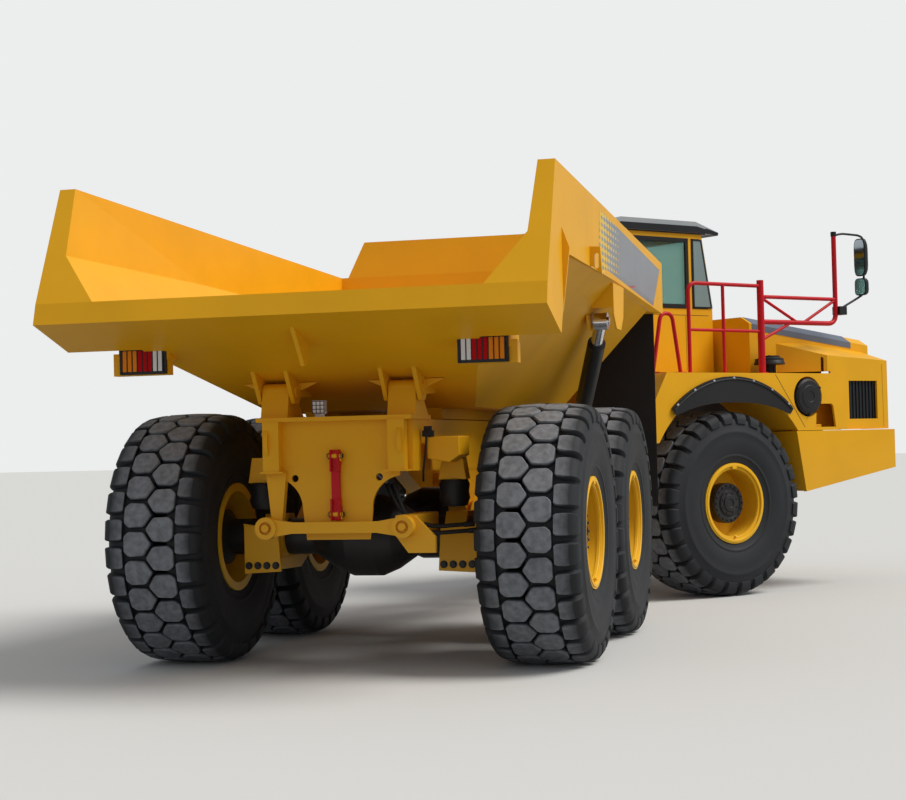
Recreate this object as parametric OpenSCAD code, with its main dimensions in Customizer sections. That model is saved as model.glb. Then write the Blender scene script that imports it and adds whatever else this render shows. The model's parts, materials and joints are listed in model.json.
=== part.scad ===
// Articulated dump truck, standing with its tractor unit turned to the right.
// Millimetres, +Z up, +Y forward along the rear unit, origin on the floor under the middle.
// The rear unit is drawn from the bogie centre, the tractor unit from the articulation pin.

/* [Layout] */
// Distance from the bogie centre forward to the articulation pin
pin_to_bogie = 4454; // [4200:1:4700]
// Distance from the articulation pin forward to the front axle
pin_to_front_axle = 1407; // [1300:1:1500]
// Distance between the middle planes of a left and a right tyre
track = 2733; // [2650:1:2850]
// Angle of the tractor unit to the right of straight ahead
parked_turn = 39.9; // [30:0.1:44]

/* [Wheels] */
// Outer radius of a tyre over its lugs
tyre_r = 937.5; // [900:0.5:960]
// Gap between the tyres of the two bogie axles
tyre_gap = 75; // [60:1:200]
// Width of a tyre across its sidewalls
tyre_w = 760; // [700:1:780]
// Radius of the rim flange
rim_r = 406.5; // [380:0.5:430]
// Width of the rim over its flanges
rim_w = 660; // [620:1:690]
// Thickness of the rim barrel and the wheel disc
rim_wall = 22; // [14:1:30]
// Radius of the hub drum in the wheel disc
hub_r = 185; // [160:1:210]
// Distance that the hub stands out of the wheel disc
hub_out = 95; // [60:1:130]

/* [Dump body] */
// Half width of the tub over its side plates at the tail
tub_half_w = 1746; // [1700:1:1760]
// Half width of the tub over its side plates at the front
tub_front_half_w = 1662; // [1600:1:1700]
// Height of the side plates' top edge at the tail
tub_tail_z = 3425; // [3300:1:3500]
// Height of the side plates' top edge at the front
tub_front_z = 3292; // [3200:1:3400]
// Height of the underside of the tub floor
tub_floor_z = 1870; // [1855:1:1900]
// Half width of the flat tub floor
tub_floor_half_w = 800; // [760:1:840]
// Thickness of the tub's floor, chamfer and front plates
tub_plate = 25; // [15:1:40]
// Height of the dump hinge
dump_hinge_z = 2000; // [1990:1:2010]
// Distance of the dump hinge behind the bogie centre
dump_hinge_back = 1590; // [1580:1:1610]
// Radius of the dump hinge pins
dump_pin_r = 45; // [35:1:50]

/* [Rear frame] */
// Half width of the rear frame over its rails
frame_half_w = 554; // [520:1:570]
// Width of one frame rail
rail_w = 150; // [120:1:170]
// Height of the frame's top flange
frame_top_z = 1812; // [1790:1:1830]
// Height of the oscillation tube's axis
hitch_z = 1180; // [1150:1:1220]
// Radius of the oscillation tube
hitch_tube_r = 230; // [200:1:250]
// Height of the bogie beams' centre shaft
beam_pivot_z = 1080; // [1060:1:1120]
// Radius of the tow holes in the rear plate
tow_hole_r = 26; // [20:1:30]

/* [Hoist cylinders] */
// Outer radius of a hoist barrel
hoist_barrel_r = 74; // [70:1:90]
// Radius of a hoist rod
hoist_rod_r = 50; // [40:1:55]
// Radius of the pins at the ends of a hoist cylinder
hoist_pin_r = 35; // [30:1:40]

/* [Tractor unit] */
// Half width of the wings over their side skins
wing_half_w = 1700; // [1650:1:1720]
// Height of the deck on the wings
deck_z = 2255; // [2230:1:2280]
// Radius of the wheel arch
arch_r = 1185; // [1150:1:1200]
// Length of the tractor unit ahead of the articulation pin
nose_s = 3860; // [3800:1:3900]
// Height of the bumper's top
bumper_top_z = 1652; // [1630:1:1680]
// Thickness of the wing and hood panels
panel = 25; // [15:1:30]
// Half width of the cab
cab_half_w = 850; // [820:1:870]
// Thickness of the cab's walls and pillars
cab_wall = 60; // [50:1:70]
// Height of the cab floor's top
cab_floor_z = 2300; // [2290:1:2350]
// Height of the cab roof
roof_z = 3900; // [3850:1:3950]
// Height of the hood's top where it starts at the cab
hood_back_z = 2870; // [2830:1:2900]
// Height of the hood's top at its nose
hood_nose_z = 2655; // [2630:1:2680]

/* [Running clearances] */
// Gap between a piece and the face it seats on
seat_gap = 0.3; // [0.2:0.1:0.5]
// Gap between a moving piece and its neighbours
running_gap = 8; // [6:1:12]

/* [Hidden] */

// Distance between the two bogie axles
bogie_pitch = 2 * tyre_r + tyre_gap;
$fn = 48;

machine_yellow = [0.93, 0.66, 0.13];
rim_yellow = [0.95, 0.72, 0.05];
rubber_black = [0.11, 0.12, 0.13];
steel_black = [0.08, 0.08, 0.09];
rail_red = [0.78, 0.10, 0.12];
glass_green = [0.45, 0.62, 0.58, 0.4];
roof_grey = [0.72, 0.73, 0.73];

// The footprint of the parked machine, which sets the origin
tail_reach = 2830;
tail_y = -pin_to_bogie - tail_reach;
nose_right_x = wing_half_w * cos(parked_turn) + nose_s * sin(parked_turn);
nose_left_y = wing_half_w * sin(parked_turn) + nose_s * cos(parked_turn);
outer_left_x = -(track + tyre_w) / 2;
middle_x = (nose_right_x + outer_left_x) / 2;
middle_y = (nose_left_y + tail_y) / 2;

// Places a shape drawn from the bogie centre
module at_bogie() {
    translate([-middle_x, -middle_y - pin_to_bogie, 0]) children();
}

// Places a shape drawn from the articulation pin, X to the right and Y to the tractor's nose
module at_tractor() {
    translate([-middle_x, -middle_y, 0]) rotate([0, 0, -parked_turn]) children();
}

// A shape and its mirror image on the other side
module both_sides() {
    children();
    mirror([1, 0, 0]) children();
}

// An outline of (Y, Z) points given width along X, from x to x + w
module side_plate(x, w, outline) {
    translate([x, 0, 0]) rotate([90, 0, 90]) linear_extrude(height = w) polygon(outline);
}

// An outline of (X, Z) points given length along Y, from y to y + d
module cross_plate(y, d, outline) {
    translate([0, y + d, 0]) rotate([90, 0, 0]) linear_extrude(height = d) polygon(outline);
}

// A box from its low corner to its high corner
module block(low, high) {
    translate(low) cube(high - low);
}

// A round bar along X, Y or Z from its start
module bar_x(at, r, length) {
    translate(at) rotate([0, 90, 0]) cylinder(r = r, h = length, $fn = r > 400 ? 180 : 48);
}
module bar_y(at, r, length) {
    translate(at) rotate([-90, 0, 0]) cylinder(r = r, h = length);
}
module bar_z(at, r, length) {
    translate(at) cylinder(r = r, h = length);
}

// A round bar of radius r between two points
module bar(a, b, r) {
    d = b - a;
    l = norm(d);
    translate(a) rotate([0, acos(d[2] / l), atan2(d[1], d[0])]) cylinder(r = r, h = l);
}

// An eight-sided bar between two points, as tubes that cross others are drawn: flat sides meet exactly
module rail_bar(a, b, r) {
    d = b - a;
    l = norm(d);
    translate(a) rotate([0, acos(d[2] / l), atan2(d[1], d[0])]) cylinder(r = r, h = l, $fn = 8);
}

// A tube through a list of points, its lengths run a little past each corner
module tube_run(points, r) {
    last = len(points) - 2;
    for (i = [0 : last]) {
        d = (points[i + 1] - points[i]) / norm(points[i + 1] - points[i]);
        rail_bar(points[i] - d * (i == 0 ? 0 : 0.4 * r), points[i + 1] + d * (i == last ? 0 : 0.4 * r),
            r - 0.7 * (i % 2));
    }
}

// Wheels

axle_z = tyre_r;
wheel_x = track / 2;
disc_w = 30;
axle_end_w = -190;

// Places a wheel drawn round the X axis, its outboard side to +X
module wheel_at(right, y) {
    side = right ? 1 : -1;
    translate([side * wheel_x, y, axle_z]) mirror([right ? 0 : 1, 0, 0]) children();
}

// Turns a profile of (radius, width) points round the X axis
module turned(profile) {
    rotate([0, 90, 0]) rotate_extrude($fn = 96) polygon(profile);
}

bead_r = rim_r + 4;
bead_half_w = rim_w / 2 - rim_wall - 2;
carcass = 45;
crown_half_w = 250;
lugs = 28;
lug_l = 165;
lug_gap = 24;
lug_sink = 60;
groove_depth = 42;

// Half of the carcass under the lugs as (radius, width), from the crown to the bead
carcass_half = [
    [tyre_r - groove_depth, 0], [tyre_r - groove_depth - 12, crown_half_w],
    [tyre_r - 112, tyre_w / 2 - 24], [tyre_r - 190, tyre_w / 2 - 12], [tyre_r - 300, tyre_w / 2],
    [tyre_r - 410, tyre_w / 2 - 16], [tyre_r - 490, tyre_w / 2 - 50], [bead_r, bead_half_w]
];

// Outline of a tread lug as (width, radius), from the middle groove over the shoulder
lug_outline = [
    [lug_gap / 2, tyre_r - lug_sink], [lug_gap / 2, tyre_r], [crown_half_w, tyre_r - 12],
    [tyre_w / 2 - 44, tyre_r - 30], [tyre_w / 2 - 16, tyre_r - 112], [tyre_w / 2 - 90, tyre_r - 150]
];

module tyre() {
    color(rubber_black) difference() {
        union() {
            turned(concat(carcass_half,
                [for (i = [len(carcass_half) - 1 : -1 : 1]) [carcass_half[i][0], -carcass_half[i][1]]]));
            // Lugs of both halves, half a pitch apart
            for (i = [0 : lugs - 1], half = [0, 1]) rotate([360 * (i + half / 2) / lugs, 0, 0])
                mirror([half, 0, 0]) translate([0, lug_l / 2, 0]) rotate([90, 0, 0])
                    linear_extrude(height = lug_l) polygon(lug_outline);
        }
        turned([
            [bead_r - 20, -bead_half_w + carcass],
            [bead_r + 60, -bead_half_w + carcass],
            [(bead_r + tyre_r) / 2, -tyre_w / 2 + carcass],
            [tyre_r - 130, -tyre_w / 2 + 130],
            [tyre_r - 110, 0],
            [tyre_r - 130, tyre_w / 2 - 130],
            [(bead_r + tyre_r) / 2, tyre_w / 2 - carcass],
            [bead_r + 60, bead_half_w - carcass],
            [bead_r - 20, bead_half_w - carcass]
        ]);
    }
}

barrel_r = rim_r - 40;

module rim() {
    flange = rim_w / 2;
    color(rim_yellow) {
        turned([
            [barrel_r - rim_wall, -flange], [rim_r, -flange], [rim_r, -flange + rim_wall],
            [barrel_r + 25, -flange + rim_wall], [barrel_r, -flange + 90], [barrel_r, flange - 90],
            [barrel_r + 25, flange - rim_wall], [rim_r, flange - rim_wall], [rim_r, flange],
            [barrel_r + 10, flange], [barrel_r + 10, flange - 14], [barrel_r - rim_wall, flange - 14],
            [barrel_r - rim_wall, disc_w + rim_wall], [hub_r - 1, disc_w + rim_wall],
            [hub_r - 1, disc_w], [barrel_r - rim_wall, disc_w - 60]
        ]);
        turned([
            [0, axle_end_w + seat_gap], [hub_r * 0.9, axle_end_w + seat_gap], [hub_r, axle_end_w + 30],
            [hub_r, disc_w + hub_out - 30], [hub_r - 30, disc_w + hub_out], [0, disc_w + hub_out]
        ]);
    }
}

// Rear frame, drawn from the bogie centre

hinge_y = -dump_hinge_back;
plate_y = -1700;
plate_t = 25;
housing_y = pin_to_bogie - 800;
housing_l = 300;
hoist_foot = [800, 2750, 1200];
hoist_head = [tub_half_w - 186, 380, 2550];
tower_in = 370;
tower_w = 200;

module rear_frame() {
    rail_outline = [
        [plate_y, frame_top_z - 30], [1500, frame_top_z - 30], [2700, 1560], [housing_y + 10, 1480],
        [housing_y + 10, 880], [2600, 980], [1500, 1380], [plate_y, 1420]
    ];
    color(machine_yellow) at_bogie() {
        both_sides() {
            side_plate(frame_half_w - rail_w, rail_w, rail_outline);
            // Bracket and pin that carry a hoist cylinder's foot
            side_plate(frame_half_w - 5, hoist_foot[0] - frame_half_w - 75, [
                [hoist_foot[1] - 160, 1060], [hoist_foot[1] + 130, 1080],
                [hoist_foot[1] + 110, 1300], [hoist_foot[1] - 140, 1330]
            ]);
            bar_x([frame_half_w - 5, hoist_foot[1], hoist_foot[2]], hoist_pin_r,
                hoist_foot[0] - frame_half_w + 75);
            // Stub shaft that a bogie beam rocks on
            bar_x([frame_half_w - 20, 0, beam_pivot_z], 80, beam_x + beam_w - frame_half_w + 40);
            // Leg from the rail down to the bogie beams' shaft
            side_plate(frame_half_w - rail_w + 5, rail_w - 10, [
                [-330, 1425], [330, 1425], [150, beam_pivot_z - 60], [60, beam_pivot_z - 130],
                [-60, beam_pivot_z - 130], [-150, beam_pivot_z - 60]
            ]);
        }
        // Top flange over the rear of the rails
        block([-570, plate_y - 100, frame_top_z - 30], [570, hinge_y + 330, frame_top_z]);
        // Cross members between the rails
        for (y = [-600, 1200, 2500]) bar_x([-frame_half_w + 50, y, y > 2000 ? 1250 : 1580], 90,
            2 * frame_half_w - 100);
        rear_plate();
        hitch_housing();
    }
}

// Towers that stand on the rails and carry the dump hinge pins
module hinge_towers() {
    foot = frame_top_z + seat_gap;
    color(machine_yellow) at_bogie() both_sides() difference() {
        union() {
            side_plate(tower_in, tower_w, [
                [hinge_y - 105, foot], [hinge_y - 58, dump_hinge_z + 10],
                [hinge_y + 58, dump_hinge_z + 10], [hinge_y + 260, foot]
            ]);
            bar_x([tower_in, hinge_y, dump_hinge_z], 60, tower_w);
        }
        bar_x([0, hinge_y, dump_hinge_z], dump_pin_r, 700);
    }
}

// The T-shaped plate across the tail of the frame, with its tow holes
module rear_plate() {
    difference() {
        block([-460, plate_y - plate_t, 946], [460, plate_y, frame_top_z - 29]);
        for (x = [-1, 1]) {
            bar_y([x * 311, plate_y - 100, 1381], tow_hole_r, 200);
            bar_y([x * 482, plate_y - 100, 1165], 225, 200);
            cross_plate(plate_y - 100, 200, [
                [x * 225, 900], [x * 257, 1165], [x * 510, 1165], [x * 510, 900]
            ]);
        }
    }
    both_sides() {
        block([400, plate_y - 110, 1430], [520, plate_y - plate_t + 1, frame_top_z - 29]);
        block([370, plate_y - 120, 1420], [540, plate_y + 20, 1432]);
        // Round ends of the rails, which stand out behind the plate
        difference() {
            bar_x([475, plate_y + 20, 1632], 160, 28);
            block([470, hinge_y - 107, frame_top_z - 10], [510, hinge_y, 1800]);
        }
    }
    // Leg down to the transverse rod's ball joint
    translate([-440, 0, 0]) cross_plate(plate_y - 60, 60, [
        [-75, 1425], [-40, 1080], [-10, 1010], [30, 1010], [75, 1425]
    ]);
}

// The ring at the nose of the frame that the oscillation tube turns in
module hitch_housing() {
    difference() {
        union() {
            bar_y([0, housing_y, hitch_z], hitch_tube_r + 90, housing_l);
            block([-frame_half_w + 10, housing_y, 900], [frame_half_w - 10, housing_y + 40, 1460]);
            both_sides() side_plate(frame_half_w - rail_w, 40, [
                [housing_y, 900], [housing_y + 40, 900], [housing_y + 40, 1460], [housing_y, 1460]
            ]);
        }
        bar_y([0, housing_y - 50, hitch_z], hitch_tube_r + 0.1, housing_l + 100);
    }
}

axle_tube_r = 135;

// A drive axle drawn round its own centre, its pinion nose towards +Y
module drive_axle() {
    rotate([0, 90, 0]) rotate_extrude($fn = 64) polygon([
        [0, -wheel_x - axle_end_w], [hub_r + 20, -wheel_x - axle_end_w],
        [hub_r + 20, -wheel_x - axle_end_w + 60], [axle_tube_r, -wheel_x - axle_end_w + 110],
        [axle_tube_r, -400], [250, -230], [300, -110], [300, 110], [250, 230], [axle_tube_r, 400],
        [axle_tube_r, wheel_x + axle_end_w - 110], [hub_r + 20, wheel_x + axle_end_w - 60],
        [hub_r + 20, wheel_x + axle_end_w], [0, wheel_x + axle_end_w]
    ]);
    bar_y([0, 150, 40], 150, 260);
}

module mid_axle() {
    color(steel_black) at_bogie() translate([0, bogie_pitch / 2, axle_z]) {
        drive_axle();
        bar_y([0, -400, 40], 110, 300);
    }
}

module rear_axle() {
    color(steel_black) at_bogie() translate([0, -bogie_pitch / 2, axle_z]) drive_axle();
}

beam_x = 610;
beam_w = 180;
beam_low_z = 705;

module bogie_beams() {
    h = bogie_pitch / 2;
    color(machine_yellow) at_bogie() both_sides() difference() {
        union() {
            side_plate(beam_x, beam_w, [
                [-h - 260, beam_low_z], [-h - 260, 790], [-h + 180, 790], [-330, beam_pivot_z - 20],
                [-120, beam_pivot_z + 120], [120, beam_pivot_z + 120], [330, beam_pivot_z - 20],
                [h - 180, 790], [h + 260, 790], [h + 260, beam_low_z], [h - 200, beam_low_z - 10],
                [250, beam_pivot_z - 150], [-250, beam_pivot_z - 150], [-h + 200, beam_low_z - 10]
            ]);
            for (y = [-h, h]) side_plate(beam_x + 10, beam_w - 20, [
                [y - 190, 780], [y - 170, axle_z + 60], [y - 90, axle_z + 170], [y + 90, axle_z + 170],
                [y + 170, axle_z + 60], [y + 190, 780]
            ]);
        }
        for (y = [-h, h]) bar_x([beam_x - 10, y, axle_z], axle_tube_r + seat_gap, beam_w + 20);
        bar_x([beam_x - 10, 0, beam_pivot_z], 80 + seat_gap, beam_w + 20);
    }
}

rod_y = plate_y - 30 - plate_t;
rod_x = 500;
rod_z = 1035;
rod_half_h = 39;
rod_eye_r = 78;

module axle_rods() {
    color(machine_yellow) at_bogie() {
        // Transverse rod behind the rear plate
        difference() {
            union() {
                cross_plate(rod_y - 70, 50, [
                    [-rod_x, rod_z - 70], [-rod_x + 190, rod_z - rod_half_h],
                    [rod_x - 190, rod_z - rod_half_h],
                    [rod_x, rod_z - 70], [rod_x, rod_z + 70], [rod_x - 190, rod_z + rod_half_h],
                    [-rod_x + 190, rod_z + rod_half_h], [-rod_x, rod_z + 70]
                ]);
                for (x = [-rod_x, rod_x]) bar_y([x, rod_y - 90, rod_z], rod_eye_r, 85 - seat_gap);
            }
            for (x = [-rod_x, rod_x]) bar_y([x, rod_y - 92, rod_z], rod_eye_r - 32, 30);
        }
        for (x = [-rod_x, rod_x]) bar_y([x, rod_y - 100, rod_z], rod_eye_r - 52, 40);
        // Folded bracket that ties it to the rear axle
        cross_plate(rod_y - 5, 40, [
            [430, 970], [520, 850], [715, 850], [715, 960], [570, 1110], [430, 1110]
        ]);
        block([430, rod_y + 20, 960], [570, -bogie_pitch / 2 - axle_tube_r - seat_gap, 1110]);
    }
}

module lock_link() {
    color(rail_red) at_bogie() translate([0, plate_y - plate_t, -25]) {
        bar([0, -34, 1110], [0, -34, 1580], 20);
        for (z = [1110, 1520]) {
            block([-35, -60, z - 8], [35, -seat_gap, z + 70]);
            bar_x([-46, -34, z + 40], 20, 92);
        }
    }
}

module work_lamp() {
    color([0.85, 0.86, 0.88]) at_bogie() translate([-148, hinge_y - 45, 0]) {
        block([-48, -25, frame_top_z + 25], [48, 25, frame_top_z + 118]);
        block([-30, -20, frame_top_z + seat_gap], [30, 20, frame_top_z + 26]);
    }
}

module prop_shafts() {
    h = bogie_pitch / 2;
    nose = axle_z + 40;
    color(steel_black) at_bogie() {
        bar([0, -h + 410 + seat_gap, nose], [0, h - 400 - seat_gap, nose], 55);
        bar_y([0, h + 410 + seat_gap, nose], 70, 80);
        bar([0, h + 460, nose], [0, housing_y - 60, hitch_z - 20], 55);
    }
}

// Dump body, drawn from the bogie centre

tail_wing_y = -2406;
lip_top = [-2790, 2603];
lip_low = [-tail_reach, 2459];
lip_tip = [-2330, 2298];
tail_skin_foot = [-2030, 2860];
front_foot_y = 2430;
front_knee = [2480, 2770];
front_lip = [3400, 2810];
front_top_y = 3400;
band_z = 2850;
side_plate_t = 40;
wall_top_t = 115;
wall_low_t = 147;
wall_fold_z = 2938;
tail_break_y = -836;
end_plate_t = 30;
headboard_z = 3650;

// Half width of the tub's outside at a place along it
function tub_half_w_at(y) =
    tub_half_w + (tub_front_half_w - tub_half_w) * (y - tail_wing_y) / (front_top_y - tail_wing_y);

// Plan of the tub from above, moved in by an inset
module tub_plan(inset) {
    translate([0, 0, 1000]) linear_extrude(height = 4000) polygon([
        [-tub_half_w_at(-3000) + inset, -3000], [tub_half_w_at(-3000) - inset, -3000],
        [tub_half_w_at(4000) - inset, 4000], [-tub_half_w_at(4000) + inset, 4000]
    ]);
}

// Half width of the sloping side at a height, from the flat floor up to the side band
chamfer_run = (tub_half_w - side_plate_t - tub_floor_half_w) / (band_z - tub_floor_z);
function chamfer_at(z) = tub_floor_half_w + chamfer_run * (z - tub_floor_z);

module tub_outside() {
    top = 4500;
    intersection() {
        tub_plan(0);
        cross_plate(-3000, 7000, [
            [-2000, top], [-2000, band_z], [-chamfer_at(band_z), band_z],
            [-tub_floor_half_w, tub_floor_z], [tub_floor_half_w, tub_floor_z],
            [chamfer_at(band_z), band_z], [2000, band_z], [2000, top]
        ]);
        side_plate(-2000, 4000, [
            lip_top, [tail_wing_y, tub_tail_z], [front_top_y, tub_front_z], front_lip, front_knee,
            [front_foot_y, tub_floor_z], [tail_break_y, tub_floor_z], lip_tip, lip_low
        ]);
    }
}

// Room that a plate's thickness takes off the sloping side, measured level
chamfer_lift = tub_plate * sqrt(1 + chamfer_run * chamfer_run);

module load_space() {
    top = 4600;
    low = tub_floor_z + tub_plate;
    corner = chamfer_at(low) - chamfer_lift;
    fold = tub_half_w - wall_low_t;
    intersection() {
        tub_plan(wall_top_t);
        cross_plate(-3100, 7200, [
            [-tub_half_w, top], [-tub_half_w + wall_top_t, tub_tail_z], [-fold, wall_fold_z],
            [-corner, low], [corner, low],
            [fold, wall_fold_z], [tub_half_w - wall_top_t, tub_tail_z], [tub_half_w, top]
        ]);
        side_plate(-2000, 4000, [
            [-3100, lip_top[1]], [-3100, top], [front_top_y + 20, top], [front_top_y + 20, headboard_z],
            [front_top_y - 45, tub_front_z], [front_top_y - 60, front_lip[1] + 80],
            [front_knee[0] - tub_plate, front_knee[1] + 40],
            [front_foot_y - tub_plate, low], [tail_break_y, low], lip_top
        ]);
    }
}

module dump_tub() {
    color(machine_yellow) at_bogie() difference() {
        union() {
            tub_outside();
            // Lip beam across the tail, and the side skins that run down beside it
            intersection() {
                tub_plan(0);
                side_plate(-2000, 4000, [
                    lip_top, lip_low, lip_tip, [lip_tip[0] + 20, lip_tip[1] + 120],
                    [lip_top[0] + 300, lip_top[1]]
                ]);
            }
            intersection() {
                difference() {
                    tub_plan(0);
                    tub_plan(side_plate_t);
                }
                side_plate(-2000, 4000, [
                    lip_top, lip_low, lip_tip, tail_skin_foot, [tail_skin_foot[0], band_z + 100],
                    [tail_wing_y, tub_tail_z - 20]
                ]);
            }
            // Leaning end plates that close the side walls at the tail
            intersection() {
                tub_plan(0);
                side_plate(-2000, 4000, [
                    lip_top, [tail_wing_y, tub_tail_z], [tail_wing_y + end_plate_t, tub_tail_z],
                    [lip_top[0] + end_plate_t, lip_top[1]]
                ]);
            }
            both_sides() {
                // Tapered stiffener behind the corner of the wing
                cross_plate(-2226, 22, [
                    [tub_half_w - 56, 2449], [tub_half_w - 6, 2449], [tub_half_w + 46, 2867],
                    [tub_half_w - 6, 3016],
                    [tub_half_w - 56, 3016]
                ]);
                // Lug with a long slot
                difference() {
                    cross_plate(-1060, 30, [
                        [tub_half_w - 46, 2995], [tub_half_w + 56, 2990], [tub_half_w + 66, 2790],
                        [tub_half_w - 6, 2853], [tub_half_w - 46, 2853]
                    ]);
                    for (z = [2850, 2930]) bar_y([tub_half_w + 28, -1100, z], 17, 100);
                    block([tub_half_w + 11, -1100, 2850], [tub_half_w + 45, -1000, 2930]);
                }
            }
            // Fin under the middle of the lip
            side_plate(-14, 28, [
                [-2614, 2420], [-2614, 2386], [-2408, 2142], [-2360, 2150], [-2281, 2310], [-2281, 2330]
            ]);
            // Headboard that rises over the front wall
            intersection() {
                cross_plate(2000, 2000, [
                    [-1327, headboard_z], [-1510, tub_front_z - 60], [1510, tub_front_z - 60],
                    [1327, headboard_z]
                ]);
                side_plate(-1600, 3200, [
                    [front_top_y - 60, tub_front_z - 60], [front_top_y - 10, tub_front_z - 60],
                    [front_top_y + 60, headboard_z], [front_top_y + 20, headboard_z]
                ]);
            }
        }
        load_space();
    }
}

ear_t = 30;
gusset_t = 20;
gusset_w = 150;
gusset_low_z = 2000;
runner_z = frame_top_z - 30 + running_gap;

// Height of the underside of the tub's rising tail floor
function tail_under(y) = tub_floor_z
    + (tail_break_y - y) * (lip_tip[1] - tub_floor_z) / (tail_break_y - lip_tip[0]) - seat_gap;

module tub_underframe() {
    color(machine_yellow) at_bogie() both_sides() {
        // Runners that lie over the frame rails
        side_plate(frame_half_w - rail_w, rail_w - 20, [
            [tail_break_y + 5, tub_floor_z - seat_gap], [tail_break_y + 60, runner_z],
            [front_foot_y - 300, runner_z], [front_foot_y - 100, tub_floor_z - seat_gap]
        ]);
        // Ears on both sides of each tower
        for (x = [tower_in - ear_t - running_gap, tower_in + tower_w + running_gap]) side_plate(x, ear_t, [
            [hinge_y - 200, tail_under(hinge_y - 200)], [hinge_y - 85, dump_hinge_z - 25],
            [hinge_y - 45, dump_hinge_z - 85], [hinge_y + 45, dump_hinge_z - 85],
            [hinge_y + 90, dump_hinge_z - 40], [hinge_y + 330, tail_under(hinge_y + 330) - 20],
            [hinge_y + 330, tail_under(hinge_y + 330)]
        ]);
        bar_x([tower_in - ear_t - 20, hinge_y, dump_hinge_z], dump_pin_r - 0.1,
            tower_w + 2 * ear_t + 40);
        // Gussets that spread the ears' load over the floor
        for (g = [
            [tower_in - ear_t - running_gap + 5, -1],
            [tower_in + tower_w + running_gap + ear_t - 5, 1]
        ])
            cross_plate(hinge_y + 50, gusset_t, [
                [g[0], tail_under(hinge_y + 50 + gusset_t)], [g[0], gusset_low_z],
                [g[0] + g[1] * gusset_w, tail_under(hinge_y + 50 + gusset_t)]
            ]);
        // Box that a tail lamp is set in
        side_plate(lamp_in - 6, lamp_w + 12, [
            [lamp_back_y + lamp_t + seat_gap, lamp_low_z - 6],
            [lamp_back_y + lamp_t + seat_gap, tail_under(lamp_back_y + lamp_t)],
            [lamp_back_y + 110, tail_under(lamp_back_y + 110)], [lamp_back_y + 110, lamp_low_z - 6]
        ]);
        // Plates that a hoist cylinder's head works between
        side_plate(hoist_in, head_plate_t, [
            [hoist_head[1] - 190, chamfer_z(hoist_in) - chamfer_off],
            [hoist_head[1] - 130, hoist_head[2] - 70],
            [hoist_head[1] + 40, hoist_head[2] - 70], [hoist_head[1] + 125, hoist_head[2] + 40],
            [hoist_head[1] + 130, chamfer_z(hoist_in) - chamfer_off]
        ]);
        side_plate(hoist_out, head_plate_t, [
            [hoist_head[1] - 250, chamfer_z(hoist_out) - chamfer_off], [hoist_head[1] - 250, 2590],
            [hoist_head[1] - 110, hoist_head[2] - 70], [hoist_head[1] + 110, hoist_head[2] - 70],
            [hoist_head[1] + 240, 2590], [hoist_head[1] + 290, chamfer_z(hoist_out) - chamfer_off]
        ]);
        // Rear wall of the hoist bracket, which stays above the path of the rod's eye
        cross_plate(hoist_head[1] - 250, head_plate_t, [
            [wall_in, 2640], [hoist_out - seat_gap, 2640],
            [hoist_out - seat_gap, chamfer_z(hoist_out - seat_gap) - chamfer_off],
            [wall_in, chamfer_z(wall_in) - chamfer_off]
        ]);
    }
}

lamp_in = 1035;
lamp_w = 395;
lamp_back_y = -2285;
lamp_low_z = 2130;
lamp_t = 24;
lamp_panel_w = 345;
lamp_bars = 8;
lamp_bar_pitch = (lamp_panel_w - 44) / lamp_bars;

module tail_lamps() {
    color(steel_black) at_bogie() both_sides() {
        block([lamp_in, lamp_back_y, lamp_low_z],
            [lamp_in + lamp_panel_w, lamp_back_y + lamp_t, tail_under(lamp_back_y + lamp_t)]);
        // Lens bars, side by side
        for (i = [0 : lamp_bars - 1]) block(
            [lamp_in + 26 + i * lamp_bar_pitch, lamp_back_y - 8, lamp_low_z + 22],
            [lamp_in + 26 + i * lamp_bar_pitch + lamp_bar_pitch - 8, lamp_back_y + 1, lamp_low_z + 122]);
    }
}

flap_y = 3350;

module mud_flaps() {
    rise = (front_lip[1] - front_knee[1]) / (front_lip[0] - front_knee[0]);
    top = front_knee[1] + (flap_y - front_knee[0]) * rise - seat_gap;
    color(steel_black) at_bogie() both_sides() side_plate(950, 625, [
        [flap_y, 960], [flap_y, top], [flap_y + 16, top + 16 * rise], [flap_y + 16, 960]
    ]);
}

// Hoist cylinders: a barrel pinned to the frame and a rod pinned to the tub

hoist_len = norm(hoist_head - hoist_foot);
barrel_len = hoist_len - 330;
barrel_bore_r = hoist_barrel_r - 18;
gland_l = 40;
piston_at = 120;
piston_l = 40;
eye_half_w = 52;
foot_play = 12;
wall_in = 1530;
head_plate_t = 12;
hoist_in = hoist_head[0] - eye_half_w - 26 - head_plate_t;
hoist_out = hoist_head[0] + 130;

// Height of the sloping side's outer face above a place across, less room for a plate's width
function chamfer_z(x) = tub_floor_z + (x - tub_floor_half_w) / chamfer_run;
chamfer_off = seat_gap * 1.4;

// Places a cylinder that is drawn along +Z from the origin, from a foot towards a head
module along(foot, head) {
    d = head - foot;
    translate(foot) rotate([0, acos(d[2] / norm(d)), atan2(d[1], d[0])]) children();
}

module hoist_barrel() {
    color(steel_black) at_bogie() difference() {
        along(hoist_foot, hoist_head) difference() {
            union() {
                translate([0, 0, 90]) cylinder(r = hoist_barrel_r, h = barrel_len - 90);
                sphere(r = 78);
                cylinder(r = 60, h = 100);
            }
            translate([0, 0, piston_at - 20])
                cylinder(r = barrel_bore_r, h = barrel_len - piston_at + 20 - gland_l);
            translate([0, 0, piston_at]) cylinder(r = hoist_rod_r + seat_gap, h = barrel_len);
        }
        bar_x([hoist_foot[0] - 200, hoist_foot[1], hoist_foot[2]], hoist_pin_r + foot_play, 400);
    }
}

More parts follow.
